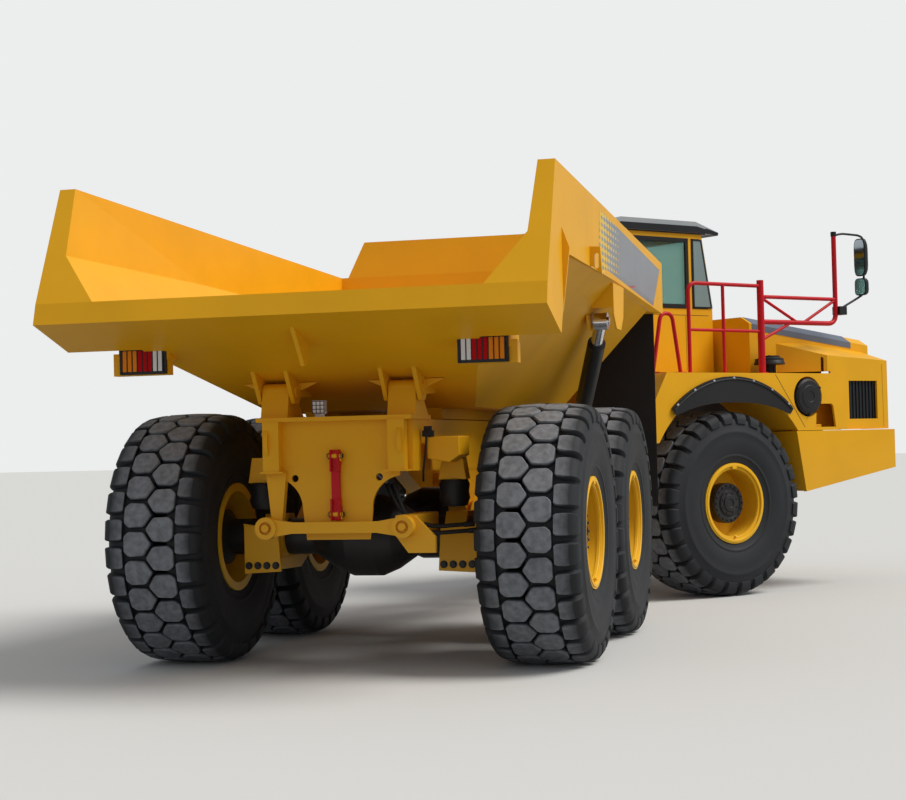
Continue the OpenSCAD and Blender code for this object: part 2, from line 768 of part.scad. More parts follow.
module hoist_rod() {
    color([0.75, 0.76, 0.78]) at_bogie() {
        along(hoist_foot, hoist_head) {
            translate([0, 0, piston_at + 20]) cylinder(r = hoist_rod_r, h = hoist_len - piston_at - 60);
            translate([0, 0, piston_at]) cylinder(r = barrel_bore_r - seat_gap, h = piston_l);
        }
        // Eye with its pin, which ends just short of the tub's inner plate
        bar_x([hoist_head[0] - eye_half_w, hoist_head[1], hoist_head[2]], 68, 2 * eye_half_w);
        bar_x([hoist_head[0] - eye_half_w - 14, hoist_head[1], hoist_head[2]], hoist_pin_r,
            2 * eye_half_w + 28);
    }
}

module hoist_barrel_right() { hoist_barrel(); }
module hoist_rod_right() { hoist_rod(); }
module hoist_barrel_left() { mirror_rear() hoist_barrel(); }
module hoist_rod_left() { mirror_rear() hoist_rod(); }

// Mirrors a placed shape about the rear unit's middle plane
module mirror_rear() {
    translate([-2 * middle_x, 0, 0]) mirror([1, 0, 0]) children();
}

// Hitch: the oscillation tube and the yoke that turns on the articulation pin

yoke_r = 170;
yoke_half_h = 270;
pin_r = 60;
ear_plate = 60;
steer_z = 990;
steer_eye = [430, -330];
steer_foot = [640, 1150];
steer_pin_r = 25;

module hitch_yoke() {
    tube_back = -(pin_to_bogie - housing_y) - 120;
    color(machine_yellow) translate([-middle_x, -middle_y, 0]) difference() {
        union() {
            bar_y([0, tube_back, hitch_z], hitch_tube_r, -tube_back - 260);
            bar_y([0, tube_back - 40, hitch_z], hitch_tube_r + 60, 120 - running_gap);
            bar_z([0, 0, hitch_z - yoke_half_h], yoke_r, 2 * yoke_half_h);
            block([-150, -420, hitch_z - 200], [150, -60, hitch_z + 200]);
            // Arms that carry the steering rods' eyes, one plate above and one below each
            both_sides() {
                block([100, -400, steer_z - 70], [steer_eye[0] + 50, -270, steer_z - 46]);
                block([100, -400, steer_z + 46], [steer_eye[0] + 50, -270, steer_z + 70]);
            }
        }
        bar_z([0, 0, 0], pin_r + 0.05, 3000);
        bar_y([0, tube_back - 100, hitch_z], 120, -tube_back - 200);
    }
}

// Tractor unit, drawn from the articulation pin

ff_half_w = 520;
ff_rail_w = 130;
bumper_t = 60;
nose_frame_s = nose_s - bumper_t - seat_gap;
engine_seat_z = 1300;
cab_seat_z = 1480;

module front_frame() {
    ear_low = hitch_z - yoke_half_h - running_gap - ear_plate;
    ear_top = hitch_z + yoke_half_h + running_gap;
    color(machine_yellow) at_tractor() {
        both_sides() {
            side_plate(ff_half_w - ff_rail_w, ff_rail_w, [
                [620, 1180], [620, cab_seat_z], [1720, cab_seat_z], [2600, 1400], [3300, engine_seat_z],
                [nose_frame_s, engine_seat_z], [nose_frame_s, 1100], [2300, 1080], [1900, 1150], [1500, 1180]
            ]);
            // Bracket over the steering cylinder's pin
            block([ff_half_w - 10, steer_foot[1] - 90, 1180],
                [steer_foot[0] + 60, steer_foot[1] + 90, 1220]);
            block([ff_half_w - 10, steer_foot[1] - 60, steer_z + 60],
                [steer_foot[0] + 50, steer_foot[1] + 60, 1181]);
            bar_z([steer_foot[0], steer_foot[1], steer_z - 55], steer_pin_r, 120);
        }
        difference() {
            union() {
                for (z = [ear_low, ear_top]) translate([0, 0, z]) linear_extrude(height = ear_plate) {
                    circle(r = yoke_r);
                    polygon([[-yoke_r, 0], [yoke_r, 0], [yoke_r, 700], [-yoke_r, 700]]);
                }
                block([-60, yoke_r + 2 * running_gap, ear_low + 10], [60, 900, ear_top + 10]);
                block([-ff_half_w + 20, 640, 1200], [ff_half_w - 20, 700, 1490]);
            }
            bar_z([0, 0, 0], pin_r - 1, 3000);
        }
        bar_z([0, 0, ear_low - 20], pin_r, ear_top - ear_low + ear_plate + 40);
        for (s = [2350, 3300]) block([-ff_half_w + 20, s, 1100], [ff_half_w - 20, s + 120, engine_seat_z]);
    }
}

// Steering cylinders: barrels pinned to the tractor, rods pinned to the yoke

// A place in the tractor unit, given from the pin along the rear unit's axes
function turned_place(p) = [
    p[0] * cos(parked_turn) + p[1] * sin(parked_turn),
    -p[0] * sin(parked_turn) + p[1] * cos(parked_turn), p[2]
];

steer_barrel_r = 50;
steer_rod_r = 32;
steer_barrel_len = 950;
steer_bore_r = steer_barrel_r - 12;
steer_rod_len = 965;

// The two ends of one side's steering cylinder
function steer_foot_at(side) = turned_place([side * steer_foot[0], steer_foot[1], steer_z]);
function steer_eye_at(side) = [side * steer_eye[0], steer_eye[1], steer_z];

module steer_barrel(side) {
    foot = steer_foot_at(side);
    color(steel_black) translate([-middle_x, -middle_y, 0]) difference() {
        along(foot, steer_eye_at(side)) difference() {
            union() {
                translate([0, 0, 40]) cylinder(r = steer_barrel_r, h = steer_barrel_len - 40);
                rotate([0, 90, 0]) translate([0, 0, -40]) cylinder(r = 62, h = 80);
            }
            translate([0, 0, 105]) cylinder(r = steer_bore_r, h = steer_barrel_len - 125);
            translate([0, 0, 110]) cylinder(r = steer_rod_r + seat_gap, h = steer_barrel_len);
        }
        bar_z([foot[0], foot[1], 0], steer_pin_r + 0.05, 3000);
    }
}

// Drawn from the foot of its barrel; the eye's pin ends just short of the yoke's plates
module steer_rod(side) {
    eye = steer_eye_at(side);
    reach = norm(eye - steer_foot_at(side));
    color([0.75, 0.76, 0.78]) translate([-middle_x, -middle_y, 0]) {
        along(steer_foot_at(side), eye) {
            translate([0, 0, reach - steer_rod_len]) cylinder(r = steer_bore_r - seat_gap, h = 70);
            translate([0, 0, reach - steer_rod_len + 10]) cylinder(r = steer_rod_r, h = steer_rod_len - 50);
        }
        bar_z([eye[0], eye[1], steer_z - 38], 58, 76);
        bar_z([eye[0], eye[1], steer_z - 46 + seat_gap], steer_pin_r, 92 - 2 * seat_gap);
    }
}

module steer_barrel_right() { steer_barrel(1); }
module steer_barrel_left() { steer_barrel(-1); }
module steer_rod_right() { steer_rod(1); }
module steer_rod_left() { steer_rod(-1); }

module front_axle() {
    color(steel_black) at_tractor() translate([0, pin_to_front_axle, axle_z]) {
        rotate([0, 0, 180]) drive_axle();
        // Suspension struts up to the frame
        both_sides() {
            bar_z([700, 0, axle_tube_r - 10], 70, 330);
            bar_z([700, 0, axle_tube_r + 310], 95, 330);
            block([ff_half_w + seat_gap, -90, axle_tube_r + 330], [760, 90, axle_tube_r + 520]);
        }
    }
}

arch_s = pin_to_front_axle;
wing_in = 880;
deck_front_s = 2830;
side_outline = [
    [340, 1560], [340, 1950], [520, deck_z], [deck_front_s + 10, deck_z], [2966, bumper_top_z + 5],
    [2330, bumper_top_z + 5]
];

module wings() {
    color(machine_yellow) at_tractor() both_sides() {
        difference() {
            side_plate(wing_half_w - panel, panel, side_outline);
            bar_x([wing_half_w - 100, arch_s, axle_z], arch_r, 200);
            bar_x([wing_half_w - 100, can_at[1], can_at[2]], can_r + 20, 200);
            // Cut-out under the air cleaner's spout
            side_plate(wing_half_w - 100, 200, [
                [2620, 1690], [2640, 1935], [2870, 1935], [2893, 1915], [2930, 1690]
            ]);
        }
        // Deck plate and rear skirt
        block([wing_in, 520, deck_z - panel], [wing_half_w - 1, deck_front_s, deck_z]);
        side_plate(wing_in, wing_half_w - wing_in - 1, [
            [340, 1560], [340, 1950], [520, deck_z], [545, deck_z - panel], [365, 1943], [365, 1560]
        ]);
        // Arch liner over the tyre
        difference() {
            bar_x([wing_in + 40, arch_s, axle_z], arch_r + 20, wing_half_w - wing_in - 60);
            bar_x([wing_in, arch_s, axle_z], arch_r, wing_half_w - wing_in + 60);
            block([wing_in - 10, 0, -600], [wing_half_w + 10, nose_s, bumper_top_z + 10]);
            block([wing_in - 10, 0, deck_z - 5], [wing_half_w + 10, nose_s, cab_top_z]);
        }
        // Front wall under the deck, inboard of the air cleaner
        block([wing_in + 1, 2560, bumper_top_z + 5], [can_at[0] - 30, 2560 + panel, deck_z - 10]);
        // Beams out from the frame rails and posts up to the deck
        for (s = [640, 2440]) {
            block([ff_half_w + seat_gap, s, 1300], [wing_in + panel, s + 80, 1390]);
            block([wing_in, s, 1300], [wing_in + panel, s + 80, deck_z - 10]);
        }
    }
}

// Height at which the rubber lips of the arches end
arch_lip_z = 1900;

module arch_lips() {
    color(rubber_black) at_tractor() both_sides() difference() {
        bar_x([wing_half_w + seat_gap, arch_s, axle_z], arch_r + 95, 30);
        bar_x([wing_half_w - 100, arch_s, axle_z], arch_r - 15, 300);
        block([wing_half_w - 200, 0, -600], [wing_half_w + 200, nose_s, arch_lip_z]);
    }
}

lamp_at_l = [1150, 1420];
lamp_r = 85;

module bumper() {
    color(machine_yellow) at_tractor() difference() {
        side_plate(-wing_half_w, 2 * wing_half_w, [
            [2330, bumper_top_z], [nose_s, bumper_top_z], [nose_s, 1240], [2450, 1020]
        ]);
        block([-1050, 2000, 900], [1050, nose_s - bumper_t, 1900]);
        both_sides() side_plate(1090, wing_half_w - 1090 - 40, [
            [2430, bumper_top_z - 40], [nose_s - bumper_t, bumper_top_z - 40], [nose_s - bumper_t, 1200],
            [nose_s - bumper_t, 900], [2200, 900], [2520, 1060]
        ]);
        both_sides() for (l = lamp_at_l) bar_y([l, nose_s - 100, 1480], lamp_r + seat_gap, 200);
    }
}

can_r = 190;
can_at = [1380, 2510, 2010];
pre_cleaner = [1480, 2180];

module air_cleaner() {
    color(steel_black) at_tractor() {
        bar_x(can_at, can_r, 320);
        bar_x([can_at[0] + 319, can_at[1], can_at[2]], 165, 14);
        block([can_at[0] + 120, can_at[1] - 25, can_at[2] - 240],
            [can_at[0] + 180, can_at[1] + 25, can_at[2] - 170]);
        bar_z([pre_cleaner[0], pre_cleaner[1], deck_z + seat_gap], 55, 110);
        bar_z([pre_cleaner[0], pre_cleaner[1], deck_z + 100], 150, 60);
        bar_z([pre_cleaner[0], pre_cleaner[1], deck_z + 159], 110, 30);
    }
}

// Cab

cab_back_s = 700;
cab_front_s = 1990;
quarter_s = 1700;
cab_head_s = 1850;
cab_top_z = roof_z - 120;
sill_z = 2975;
door_back_s = 860;
door_front_s = 1600;
door_low_z = 2330;
door_gap = 6;
door_hinge_z = [2550, 3550];

function cab_outline(t) = [
    [cab_back_s + t, cab_floor_z], [cab_back_s + t, cab_top_z], [cab_head_s - t, cab_top_z],
    [cab_front_s - t, sill_z], [cab_front_s - t, cab_floor_z]
];

module cab_shell() {
    color(machine_yellow) at_tractor() {
        difference() {
            side_plate(-cab_half_w, 2 * cab_half_w, [for (p = cab_outline(0)) p]);
            side_plate(-cab_half_w + cab_wall, 2 * (cab_half_w - cab_wall), [
                for (p = cab_outline(cab_wall)) [p[0], p[1] < cab_floor_z + 1 ? cab_floor_z + 50 : p[1] + 0]
            ]);
            // Right side window
            side_plate(cab_half_w - 100, 200, [
                [cab_back_s + 90, sill_z], [cab_back_s + 90, cab_top_z - 60],
                [cab_head_s - 200, cab_top_z - 60], [cab_head_s - 200, sill_z]
            ]);
            // Quarter window ahead of the pillar, on the right
            side_plate(cab_half_w - 100, 200, [
                [quarter_s, sill_z], [quarter_s, cab_top_z - 60], [cab_head_s - 26, cab_top_z - 60],
                [cab_front_s - 66, sill_z]
            ]);
            // Door opening on the left
            side_plate(-cab_half_w - 100, 200, [
                [door_back_s, door_low_z], [door_back_s, cab_top_z - 50], [door_front_s, cab_top_z - 50],
                [door_front_s, door_low_z]
            ]);
            // Windscreen and rear window
            block([-cab_half_w + 80, cab_front_s - 300, sill_z],
                [cab_half_w - 80, cab_front_s + 50, cab_top_z - 60]);
            block([-cab_half_w + 110, cab_back_s - 50, sill_z],
                [cab_half_w - 110, cab_back_s + 100, cab_top_z - 60]);
        }
        // Pins that the door hangs on
        for (z = door_hinge_z) {
            bar_z([-cab_half_w - 22, door_back_s - 8, z - 70], 12, 140);
            block([-cab_half_w - 34, door_back_s - 50, z - 71], [-cab_half_w + 1, door_back_s - 8, z - 50]);
            block([-cab_half_w - 34, door_back_s - 20, z - 71], [-cab_half_w - 10, door_back_s + 4, z - 50]);
        }
        // Cab mounting plinth down to the frame
        both_sides() block([ff_half_w - ff_rail_w, 900, cab_seat_z + seat_gap],
            [ff_half_w, 1700, cab_floor_z + 1]);
    }
}

module cab_roof() {
    color(roof_grey) at_tractor() {
        side_plate(-cab_half_w - 30, 2 * cab_half_w + 60, [
            [cab_back_s - 60, cab_top_z + seat_gap], [cab_back_s - 80, roof_z - 40], [cab_back_s, roof_z],
            [cab_head_s - 100, roof_z], [cab_head_s + 230, roof_z - 100], [cab_head_s + 220, roof_z - 125],
            [cab_head_s, cab_top_z + seat_gap]
        ]);
    }
}

pane = 10;

module cab_glass() {
    color(glass_green) at_tractor() {
        low = sill_z + seat_gap;
        top = cab_top_z - 60 - seat_gap;
        back = cab_back_s + 90 + seat_gap;
        side_plate(cab_half_w - 40, pane, [
            [back, low], [back, top], [cab_head_s - 200 - seat_gap, top], [cab_head_s - 200 - seat_gap, low]
        ]);
        side_plate(cab_half_w - 40, pane, [
            [quarter_s + seat_gap, low], [quarter_s + seat_gap, top], [cab_head_s - 27 - 2 * seat_gap, top],
            [cab_front_s - 67 - 2 * seat_gap, low]
        ]);
        block([-cab_half_w + 110 + seat_gap, cab_back_s + 25, low],
            [cab_half_w - 110 - seat_gap, cab_back_s + 25 + pane, top]);
        run = cab_front_s - cab_head_s;
        rise = cab_top_z - sill_z;
        side_plate(-cab_half_w + 80 + seat_gap, 2 * (cab_half_w - 80 - seat_gap), [
            [cab_front_s - 25, low], [cab_head_s - 25 + run * 60 / rise, top],
            [cab_head_s - 25 - pane + run * 60 / rise, top], [cab_front_s - 25 - pane, low]
        ]);
    }
}

module cab_door() {
    color(machine_yellow) at_tractor() {
        for (z = door_hinge_z) difference() {
            union() {
                bar_z([-cab_half_w - 22, door_back_s - 8, z - 50 + seat_gap], 20, 100);
                block([-cab_half_w - 34, door_back_s - 8, z - 50 + seat_gap],
                    [-cab_half_w - 8, door_back_s + 80, z + 50]);
                block([-cab_half_w - 9, door_back_s + 20, z - 50 + seat_gap],
                    [-cab_half_w + 1, door_back_s + 80, z + 50]);
            }
            bar_z([-cab_half_w - 22, door_back_s - 8, z - 100], 12 + seat_gap, 200);
        }
        difference() {
            block([-cab_half_w, door_back_s + door_gap, door_low_z + door_gap],
                [-cab_half_w + 50, door_front_s - door_gap, cab_top_z - 50 - door_gap]);
            block([-cab_half_w - 50, door_back_s + 90, sill_z - 200],
                [-cab_half_w + 100, door_front_s - 90, cab_top_z - 140]);
        }
    }
}

module door_glass() {
    color(glass_green) at_tractor()
        block([-cab_half_w + 20, door_back_s + 90 + seat_gap, sill_z - 200 + seat_gap],
            [-cab_half_w + 20 + pane, door_front_s - 90 - seat_gap, cab_top_z - 140 - seat_gap]);
}

module seat() {
    color(steel_black) at_tractor() {
        floor_z = cab_floor_z + 50 + seat_gap;
        block([-120, 1050, floor_z], [120, 1350, floor_z + 250]);
        block([-250, 950, floor_z + 249], [250, 1450, floor_z + 380]);
        side_plate(-230, 460, [
            [960, floor_z + 379], [860, floor_z + 1000], [970, floor_z + 1010], [1090, floor_z + 379]
        ]);
    }
}

module steering_console() {
    color(steel_black) at_tractor() {
        floor_z = cab_floor_z + 50 + seat_gap;
        side_plate(-350, 700, [
            [cab_front_s - 280, floor_z], [cab_front_s - 260, floor_z + 600],
            [cab_front_s - 90, floor_z + 620], [cab_front_s - 70, floor_z]
        ]);
        bar([0, cab_front_s - 220, floor_z + 500], [0, cab_front_s - 390, floor_z + 740], 25);
        translate([0, cab_front_s - 390, floor_z + 740]) rotate([35, 0, 0])
            rotate_extrude() translate([190, 0]) circle(r = 14, $fn = 16);
        translate([0, cab_front_s - 390, floor_z + 740]) rotate([35, 0, 0]) for (a = [0, 120, 240])
            rotate([0, 0, a]) rotate([0, 90, 0]) cylinder(r = 10, h = 185);
    }
}

rail_l = 1600;
rail_tube_r = 20;
rail_bar_r = 16;
rail_post_r = 18;
post_r = 36;
mast = [1630, 3050];
mast_r = 26;

module hand_rails() {
    foot = deck_z + seat_gap;
    color(rail_red) at_tractor() {
        // Right side only: the rails beside the cab
        tube_run([[rail_l, 930, foot], [rail_l, 930, 3100], [rail_l, 990, 3160], [rail_l, 1950, 3160]],
            rail_tube_r);
        rail_bar([rail_l, 1410, foot], [rail_l, 1410, 3160], rail_post_r);
        rail_bar([rail_l, 930, 2690], [rail_l, 1950, 2690], rail_bar_r);
        both_sides() {
            tube_run([[rail_l, 430, foot + 6], [rail_l, 550, 2790], [rail_l, 625, 2845], [rail_l, 710, 2790],
                [rail_l, 800, foot + 6]], rail_tube_r);
            rail_bar([rail_l, 1950, foot], [rail_l, 1950, 3220], post_r);
            // Forward truss and mast that carry the mirrors
            rail_bar([rail_l, 1950, 3050], [mast[0], mast[1], 3050], rail_tube_r);
            tube_run([[rail_l, 1950, 2790], [mast[0], mast[1] - 70, 2790], [mast[0], mast[1], 2850],
                [mast[0], mast[1], 3770]], mast_r);
            rail_bar([rail_l, 1960, 3040], [rail_l + 14, 2480, 2795], rail_bar_r);
            rail_bar([rail_l + 16, 2560, 2795], [mast[0], mast[1], 3040], rail_bar_r);
            rail_bar([rail_l, 1960, 2600], [rail_l + 12, 2380, 2787], rail_bar_r);
        }
    }
}

module mirrors() {
    color(steel_black) at_tractor() both_sides() {
        tube_run([[mast[0], mast[1] + mast_r + seat_gap, 3740], [mast[0], 3480, 3760]], 14);
        block([mast[0] - 30, 3440, 3340], [mast[0] + 60, 3500, 3770]);
        tube_run([[mast[0], mast[1] + mast_r + seat_gap, 3100], [mast[0], 3480, 3130]], 14);
        block([mast[0] - 30, 3400, 3110], [mast[0] + 60, 3460, 3300]);
    }
}

engine_half_w = 370;
engine_top_z = 2350;

module engine_block() {
    color([0.35, 0.36, 0.38]) at_tractor()
        block([-engine_half_w, 2150, engine_seat_z + seat_gap], [engine_half_w, 3350, engine_top_z]);
}

slats = 24;
slat_pitch = 74;
core_s = 3560;
core_t = 40;
slat_top_z = 2380;

module grille() {
    color(steel_black) at_tractor() {
        block([-900, core_s, engine_seat_z + seat_gap], [900, core_s + core_t, slat_top_z + 20]);
        for (i = [0 : slats - 1]) block([-870 + i * slat_pitch, core_s + core_t - 1, 1460],
            [-840 + i * slat_pitch, core_s + 2 * core_t, slat_top_z]);
    }
}

vent_s = [3200, 3650];
vent_z = [1770, 2180];
vent_lap = 30;

// Screens with upright slats, just inside the hood's side vents
module vent_screens() {
    outer = hood_cheek_l - panel - seat_gap;
    color(steel_black) at_tractor() both_sides() {
        block([outer - 18, vent_s[0] - vent_lap, vent_z[0] - vent_lap],
            [outer - 10, vent_s[1] + vent_lap, vent_z[1] + vent_lap]);
        for (s = [vent_s[0] - 10 : 52 : vent_s[1] + 20])
            block([outer - 11, s, vent_z[0] - 20], [outer, s + 16, vent_z[1] + 20]);
    }
}

module head_lamps() {
    color([0.85, 0.86, 0.88]) at_tractor() both_sides() for (l = lamp_at_l)
        bar_y([l, nose_s - bumper_t + 1, 1480], lamp_r, bumper_t - 3);
}

module exhaust() {
    color(steel_black) at_tractor() bar_z([-1050, 640, deck_z + seat_gap], 70, 980);
}

hood_back_s = 2080;
hood_side_l = 1300;
hood_cheek_l = 1650;
cheek_ramp_s = 2476;
cheek_back_s = 2874;
cheek_foot_s = 3140;
cheek_nose_s = 3820;
hood_low_z = bumper_top_z + 8;
hood_hinge = [3840, 1700];
hood_skirt_z = deck_z + 25;

// Height of the hood's top at a place ahead of the pin
function hood_top_at(s) =
    hood_back_z + (hood_nose_z - hood_back_z) * (s - hood_back_s) / (nose_s + 60 - hood_back_s);

// Half of the hood's section as (across, height) points, moved in by t
function hood_half(s, low, t) = let(top = hood_top_at(s) - t)
    [[hood_side_l - t, low], [hood_side_l - t, top - 70], [hood_side_l - 120 - t, top]];

// Half of the section of the hood's cheeks
function cheek_half(s, t) = let(k = (s - cheek_back_s) / (cheek_nose_s - cheek_back_s))
    [[hood_cheek_l - t, hood_low_z], [hood_cheek_l - t, 2450 - 50 * k - t],
     [hood_side_l - t, 2600 - 90 * k - t]];

// Half the section of the ramps that widen the hood's sides into the cheeks
function ramp_half(k, t) = [[hood_side_l + (hood_cheek_l - hood_side_l) * k - t, hood_skirt_z - 4 * t],
    [hood_side_l + (hood_cheek_l - hood_side_l) * k - t, 2590 - 140 * k - t],
    [hood_side_l - t - 1, 2600 - t]];

// A whole ring from half a section
function ring(s, half) = let(n = len(half) - 1)
    concat([for (p = half) [p[0], s, p[1]]], [for (i = [n : -1 : 0]) [-half[i][0], s, half[i][1]]]);

// Skins a list of rings that have the same number of points each
module loft(rings) {
    n = len(rings[0]);
    m = len(rings);
    pts = [for (r = rings) for (p = r) p];
    polyhedron(points = pts, faces = concat(
        [[for (i = [n - 1 : -1 : 0]) i]],
        [for (j = [0 : m - 2]) for (i = [0 : n - 1])
            [j * n + i, j * n + (i + 1) % n, (j + 1) * n + (i + 1) % n, (j + 1) * n + i]],
        [[for (i = [0 : n - 1]) (m - 1) * n + i]]
    ), convexity = 6);
}

module hood() {
    color(machine_yellow) at_tractor() difference() {
        union() {
            loft([
                ring(hood_back_s, hood_half(hood_back_s, hood_skirt_z, 0)),
                ring(nose_s + 60, hood_half(nose_s + 60, hood_skirt_z, 0))
            ]);
            loft([ring(cheek_ramp_s, ramp_half(0, 0)), ring(cheek_back_s, ramp_half(1, 0))]);
            difference() {
                loft([
                    ring(cheek_back_s - 1, cheek_half(cheek_back_s, 0)),
                    ring(cheek_nose_s, cheek_half(cheek_nose_s, 0))
                ]);
                side_plate(-hood_cheek_l - 100, 2 * hood_cheek_l + 200, [
                    [cheek_back_s - 100, hood_skirt_z], [cheek_back_s + 40, hood_skirt_z],
                    [cheek_foot_s, hood_low_z - 50], [cheek_back_s - 100, hood_low_z - 50]
                ]);
            }
        }
        loft([
            ring(hood_back_s + panel, hood_half(hood_back_s + panel, hood_skirt_z - 700, panel)),
            ring(nose_s + 60 - panel, hood_half(nose_s + 60 - panel, hood_skirt_z - 700, panel))
        ]);
        loft([ring(cheek_ramp_s, ramp_half(0, panel)), ring(cheek_back_s + 5, ramp_half(1, panel))]);
        translate([0, 0, -1]) loft([
            ring(cheek_back_s - 50, cheek_half(cheek_back_s - 50, panel)),
            ring(cheek_nose_s - panel, cheek_half(cheek_nose_s - panel, panel))
        ]);
        // Opening of the nose for the grille and the round-cornered side vents
        block([-880, cheek_nose_s - 200, hood_low_z - 50], [880, nose_s + 200, 2330]);
        both_sides() side_plate(hood_cheek_l - 100, 200, [
            [vent_s[0], vent_z[0]], [vent_s[1], vent_z[0]], [vent_s[1], vent_z[1]],
            [vent_s[0], vent_z[1]]
        ]);
    }
}

module front_wheel(right) {
    translate([-middle_x, -middle_y, 0]) rotate([0, 0, -parked_turn])
        wheel_at(right, pin_to_front_axle) children();
}

module bogie_wheel(right, y) {
    at_bogie() wheel_at(right, y) children();
}

rear_frame();
hinge_towers();
mid_axle();
rear_axle();
bogie_beams();
axle_rods();
lock_link();
work_lamp();
prop_shafts();
front_wheel(true) tyre();  // tyre_front_right
front_wheel(false) tyre();  // tyre_front_left
bogie_wheel(true, bogie_pitch / 2) tyre();  // tyre_mid_right
bogie_wheel(false, bogie_pitch / 2) tyre();  // tyre_mid_left
bogie_wheel(true, -bogie_pitch / 2) tyre();  // tyre_rear_right
bogie_wheel(false, -bogie_pitch / 2) tyre();  // tyre_rear_left
front_wheel(true) rim();  // rim_front_right
front_wheel(false) rim();  // rim_front_left
bogie_wheel(true, bogie_pitch / 2) rim();  // rim_mid_right
bogie_wheel(false, bogie_pitch / 2) rim();  // rim_mid_left
bogie_wheel(true, -bogie_pitch / 2) rim();  // rim_rear_right
bogie_wheel(false, -bogie_pitch / 2) rim();  // rim_rear_left
dump_tub();
tub_underframe();
tail_lamps();
mud_flaps();
hoist_barrel_right();
hoist_barrel_left();
hoist_rod_right();
hoist_rod_left();
hitch_yoke();
steer_barrel_right();
steer_barrel_left();
steer_rod_right();
steer_rod_left();
front_frame();
front_axle();
wings();
arch_lips();
bumper();
air_cleaner();
cab_shell();
cab_roof();
cab_glass();
cab_door();
door_glass();
seat();
steering_console();
hand_rails();
mirrors();
engine_block();
grille();
vent_screens();
head_lamps();
exhaust();
hood();
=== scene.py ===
# %% [markdown]
# # An articulated dump truck, dressed in Blender
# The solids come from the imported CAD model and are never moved. This lesson gives them paint,
# rubber and glass, and adds what CAD leaves out: tread blocks, bent rails, lamp bars and bolts.
# Loading the frame first means that every later piece can be placed by measured boxes.
# %% Load the frame
import json
import math
import bmesh
import bpy
from mathutils import Matrix, Vector
from mathutils.bvhtree import BVHTree


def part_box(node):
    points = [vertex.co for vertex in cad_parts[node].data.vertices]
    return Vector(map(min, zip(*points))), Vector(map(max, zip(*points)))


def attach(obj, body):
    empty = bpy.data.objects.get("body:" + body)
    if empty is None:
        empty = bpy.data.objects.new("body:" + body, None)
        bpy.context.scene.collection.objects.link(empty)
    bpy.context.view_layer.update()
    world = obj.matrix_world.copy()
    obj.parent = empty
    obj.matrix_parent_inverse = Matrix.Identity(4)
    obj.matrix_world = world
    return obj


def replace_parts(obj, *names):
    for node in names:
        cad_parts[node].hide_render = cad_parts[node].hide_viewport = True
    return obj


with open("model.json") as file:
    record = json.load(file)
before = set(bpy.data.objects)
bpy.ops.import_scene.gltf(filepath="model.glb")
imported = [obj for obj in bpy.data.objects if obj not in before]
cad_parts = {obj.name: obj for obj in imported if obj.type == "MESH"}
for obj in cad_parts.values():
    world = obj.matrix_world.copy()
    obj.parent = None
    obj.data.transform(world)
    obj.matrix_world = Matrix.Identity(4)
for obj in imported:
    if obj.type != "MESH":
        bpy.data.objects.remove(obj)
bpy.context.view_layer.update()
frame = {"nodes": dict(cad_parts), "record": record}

# %% [markdown]
# ## Two work frames
# The truck is hinged in the middle and stands with its tractor unit turned to the right. It
# would be hard to place a mirror or a lamp in turned coordinates, so each half has its own matrix
# that takes easy local metres: across, along and up. The rear half is measured from the middle
# of its four wheels, the tractor from the steering pin.
# %% Places on the two halves
PIN = Vector((-1.0168, 1.6161, 0))
BOGIE = Vector((-1.0168, -2.8379, 0))
PARKED_TURN = math.radians(39.9)
REAR_PLACE = Matrix.Translation(BOGIE)
TRACTOR_PLACE = Matrix.Translation(PIN) @ Matrix.Rotation(-PARKED_TURN, 4, "Z")
print("steering pin at", [round(v, 3) for v in TRACTOR_PLACE.translation])

# %% [markdown]
# ## The camera
# The photographer stood behind the truck and to its right. The place, the turn and the focal
# length were solved from points whose real places are known, so the camera needs no shift.
# %% Camera
CAMERA_SPOT = (2.8559, -16.4850, 1.5888)
YAW, PITCH, ROLL = -0.247866, 0.025540, -0.024172
camera_data = bpy.data.cameras.new("viewpoint")
camera_data.sensor_width = 36
camera_data.lens = 70.57
camera = bpy.data.objects.new("viewpoint", camera_data)
bpy.context.scene.collection.objects.link(camera)
bpy.context.scene.camera = camera
forward = Vector((
    math.sin(YAW) * math.cos(PITCH), math.cos(YAW) * math.cos(PITCH), math.sin(PITCH),
))
level = Vector((math.cos(YAW), -math.sin(YAW), 0))
upward = level.cross(forward)
right = level * math.cos(ROLL) + upward * math.sin(ROLL)
up = upward * math.cos(ROLL) - level * math.sin(ROLL)
turn = Matrix((right, up, -forward)).transposed().to_4x4()
camera.matrix_world = Matrix.Translation(CAMERA_SPOT) @ turn
print("camera looks along", [round(v, 3) for v in forward])

# %% [markdown]
# ## A shorthand for shader nodes
# The floor, the sky and every paint below are small networks of shader nodes. Written out, each
# node takes five or six lines. This shorthand makes one node, sets the numbers on its sockets and
# plugs in what feeds it, so that a network reads from top to bottom like a recipe.
# %% Helpers for shader nodes


def add_node(tree, kind, feeds=None, numbers=None, operation=None, colours=False):
    """Makes one shader node; feeds and numbers go to its sockets by name or by place."""
    node = tree.nodes.new("ShaderNode" + kind)
    if operation:
        node.operation = operation
    if colours:
        node.data_type = "RGBA"
    for socket, number in (numbers or {}).items():
        node.inputs[socket].default_value = number
    for socket, source in (feeds or {}).items():
        tree.links.new(source, node.inputs[socket])
    return node


def any_ray(tree, *kinds):
    """1 where the ray is of one of these kinds, and 0 for all others."""
    rays = add_node(tree, "LightPath").outputs
    found = rays[kinds[0]]
    for kind in kinds[1:]:
        found = add_node(tree, "Math", {0: found, 1: rays[kind]}, operation="MAXIMUM").outputs[0]
    return found


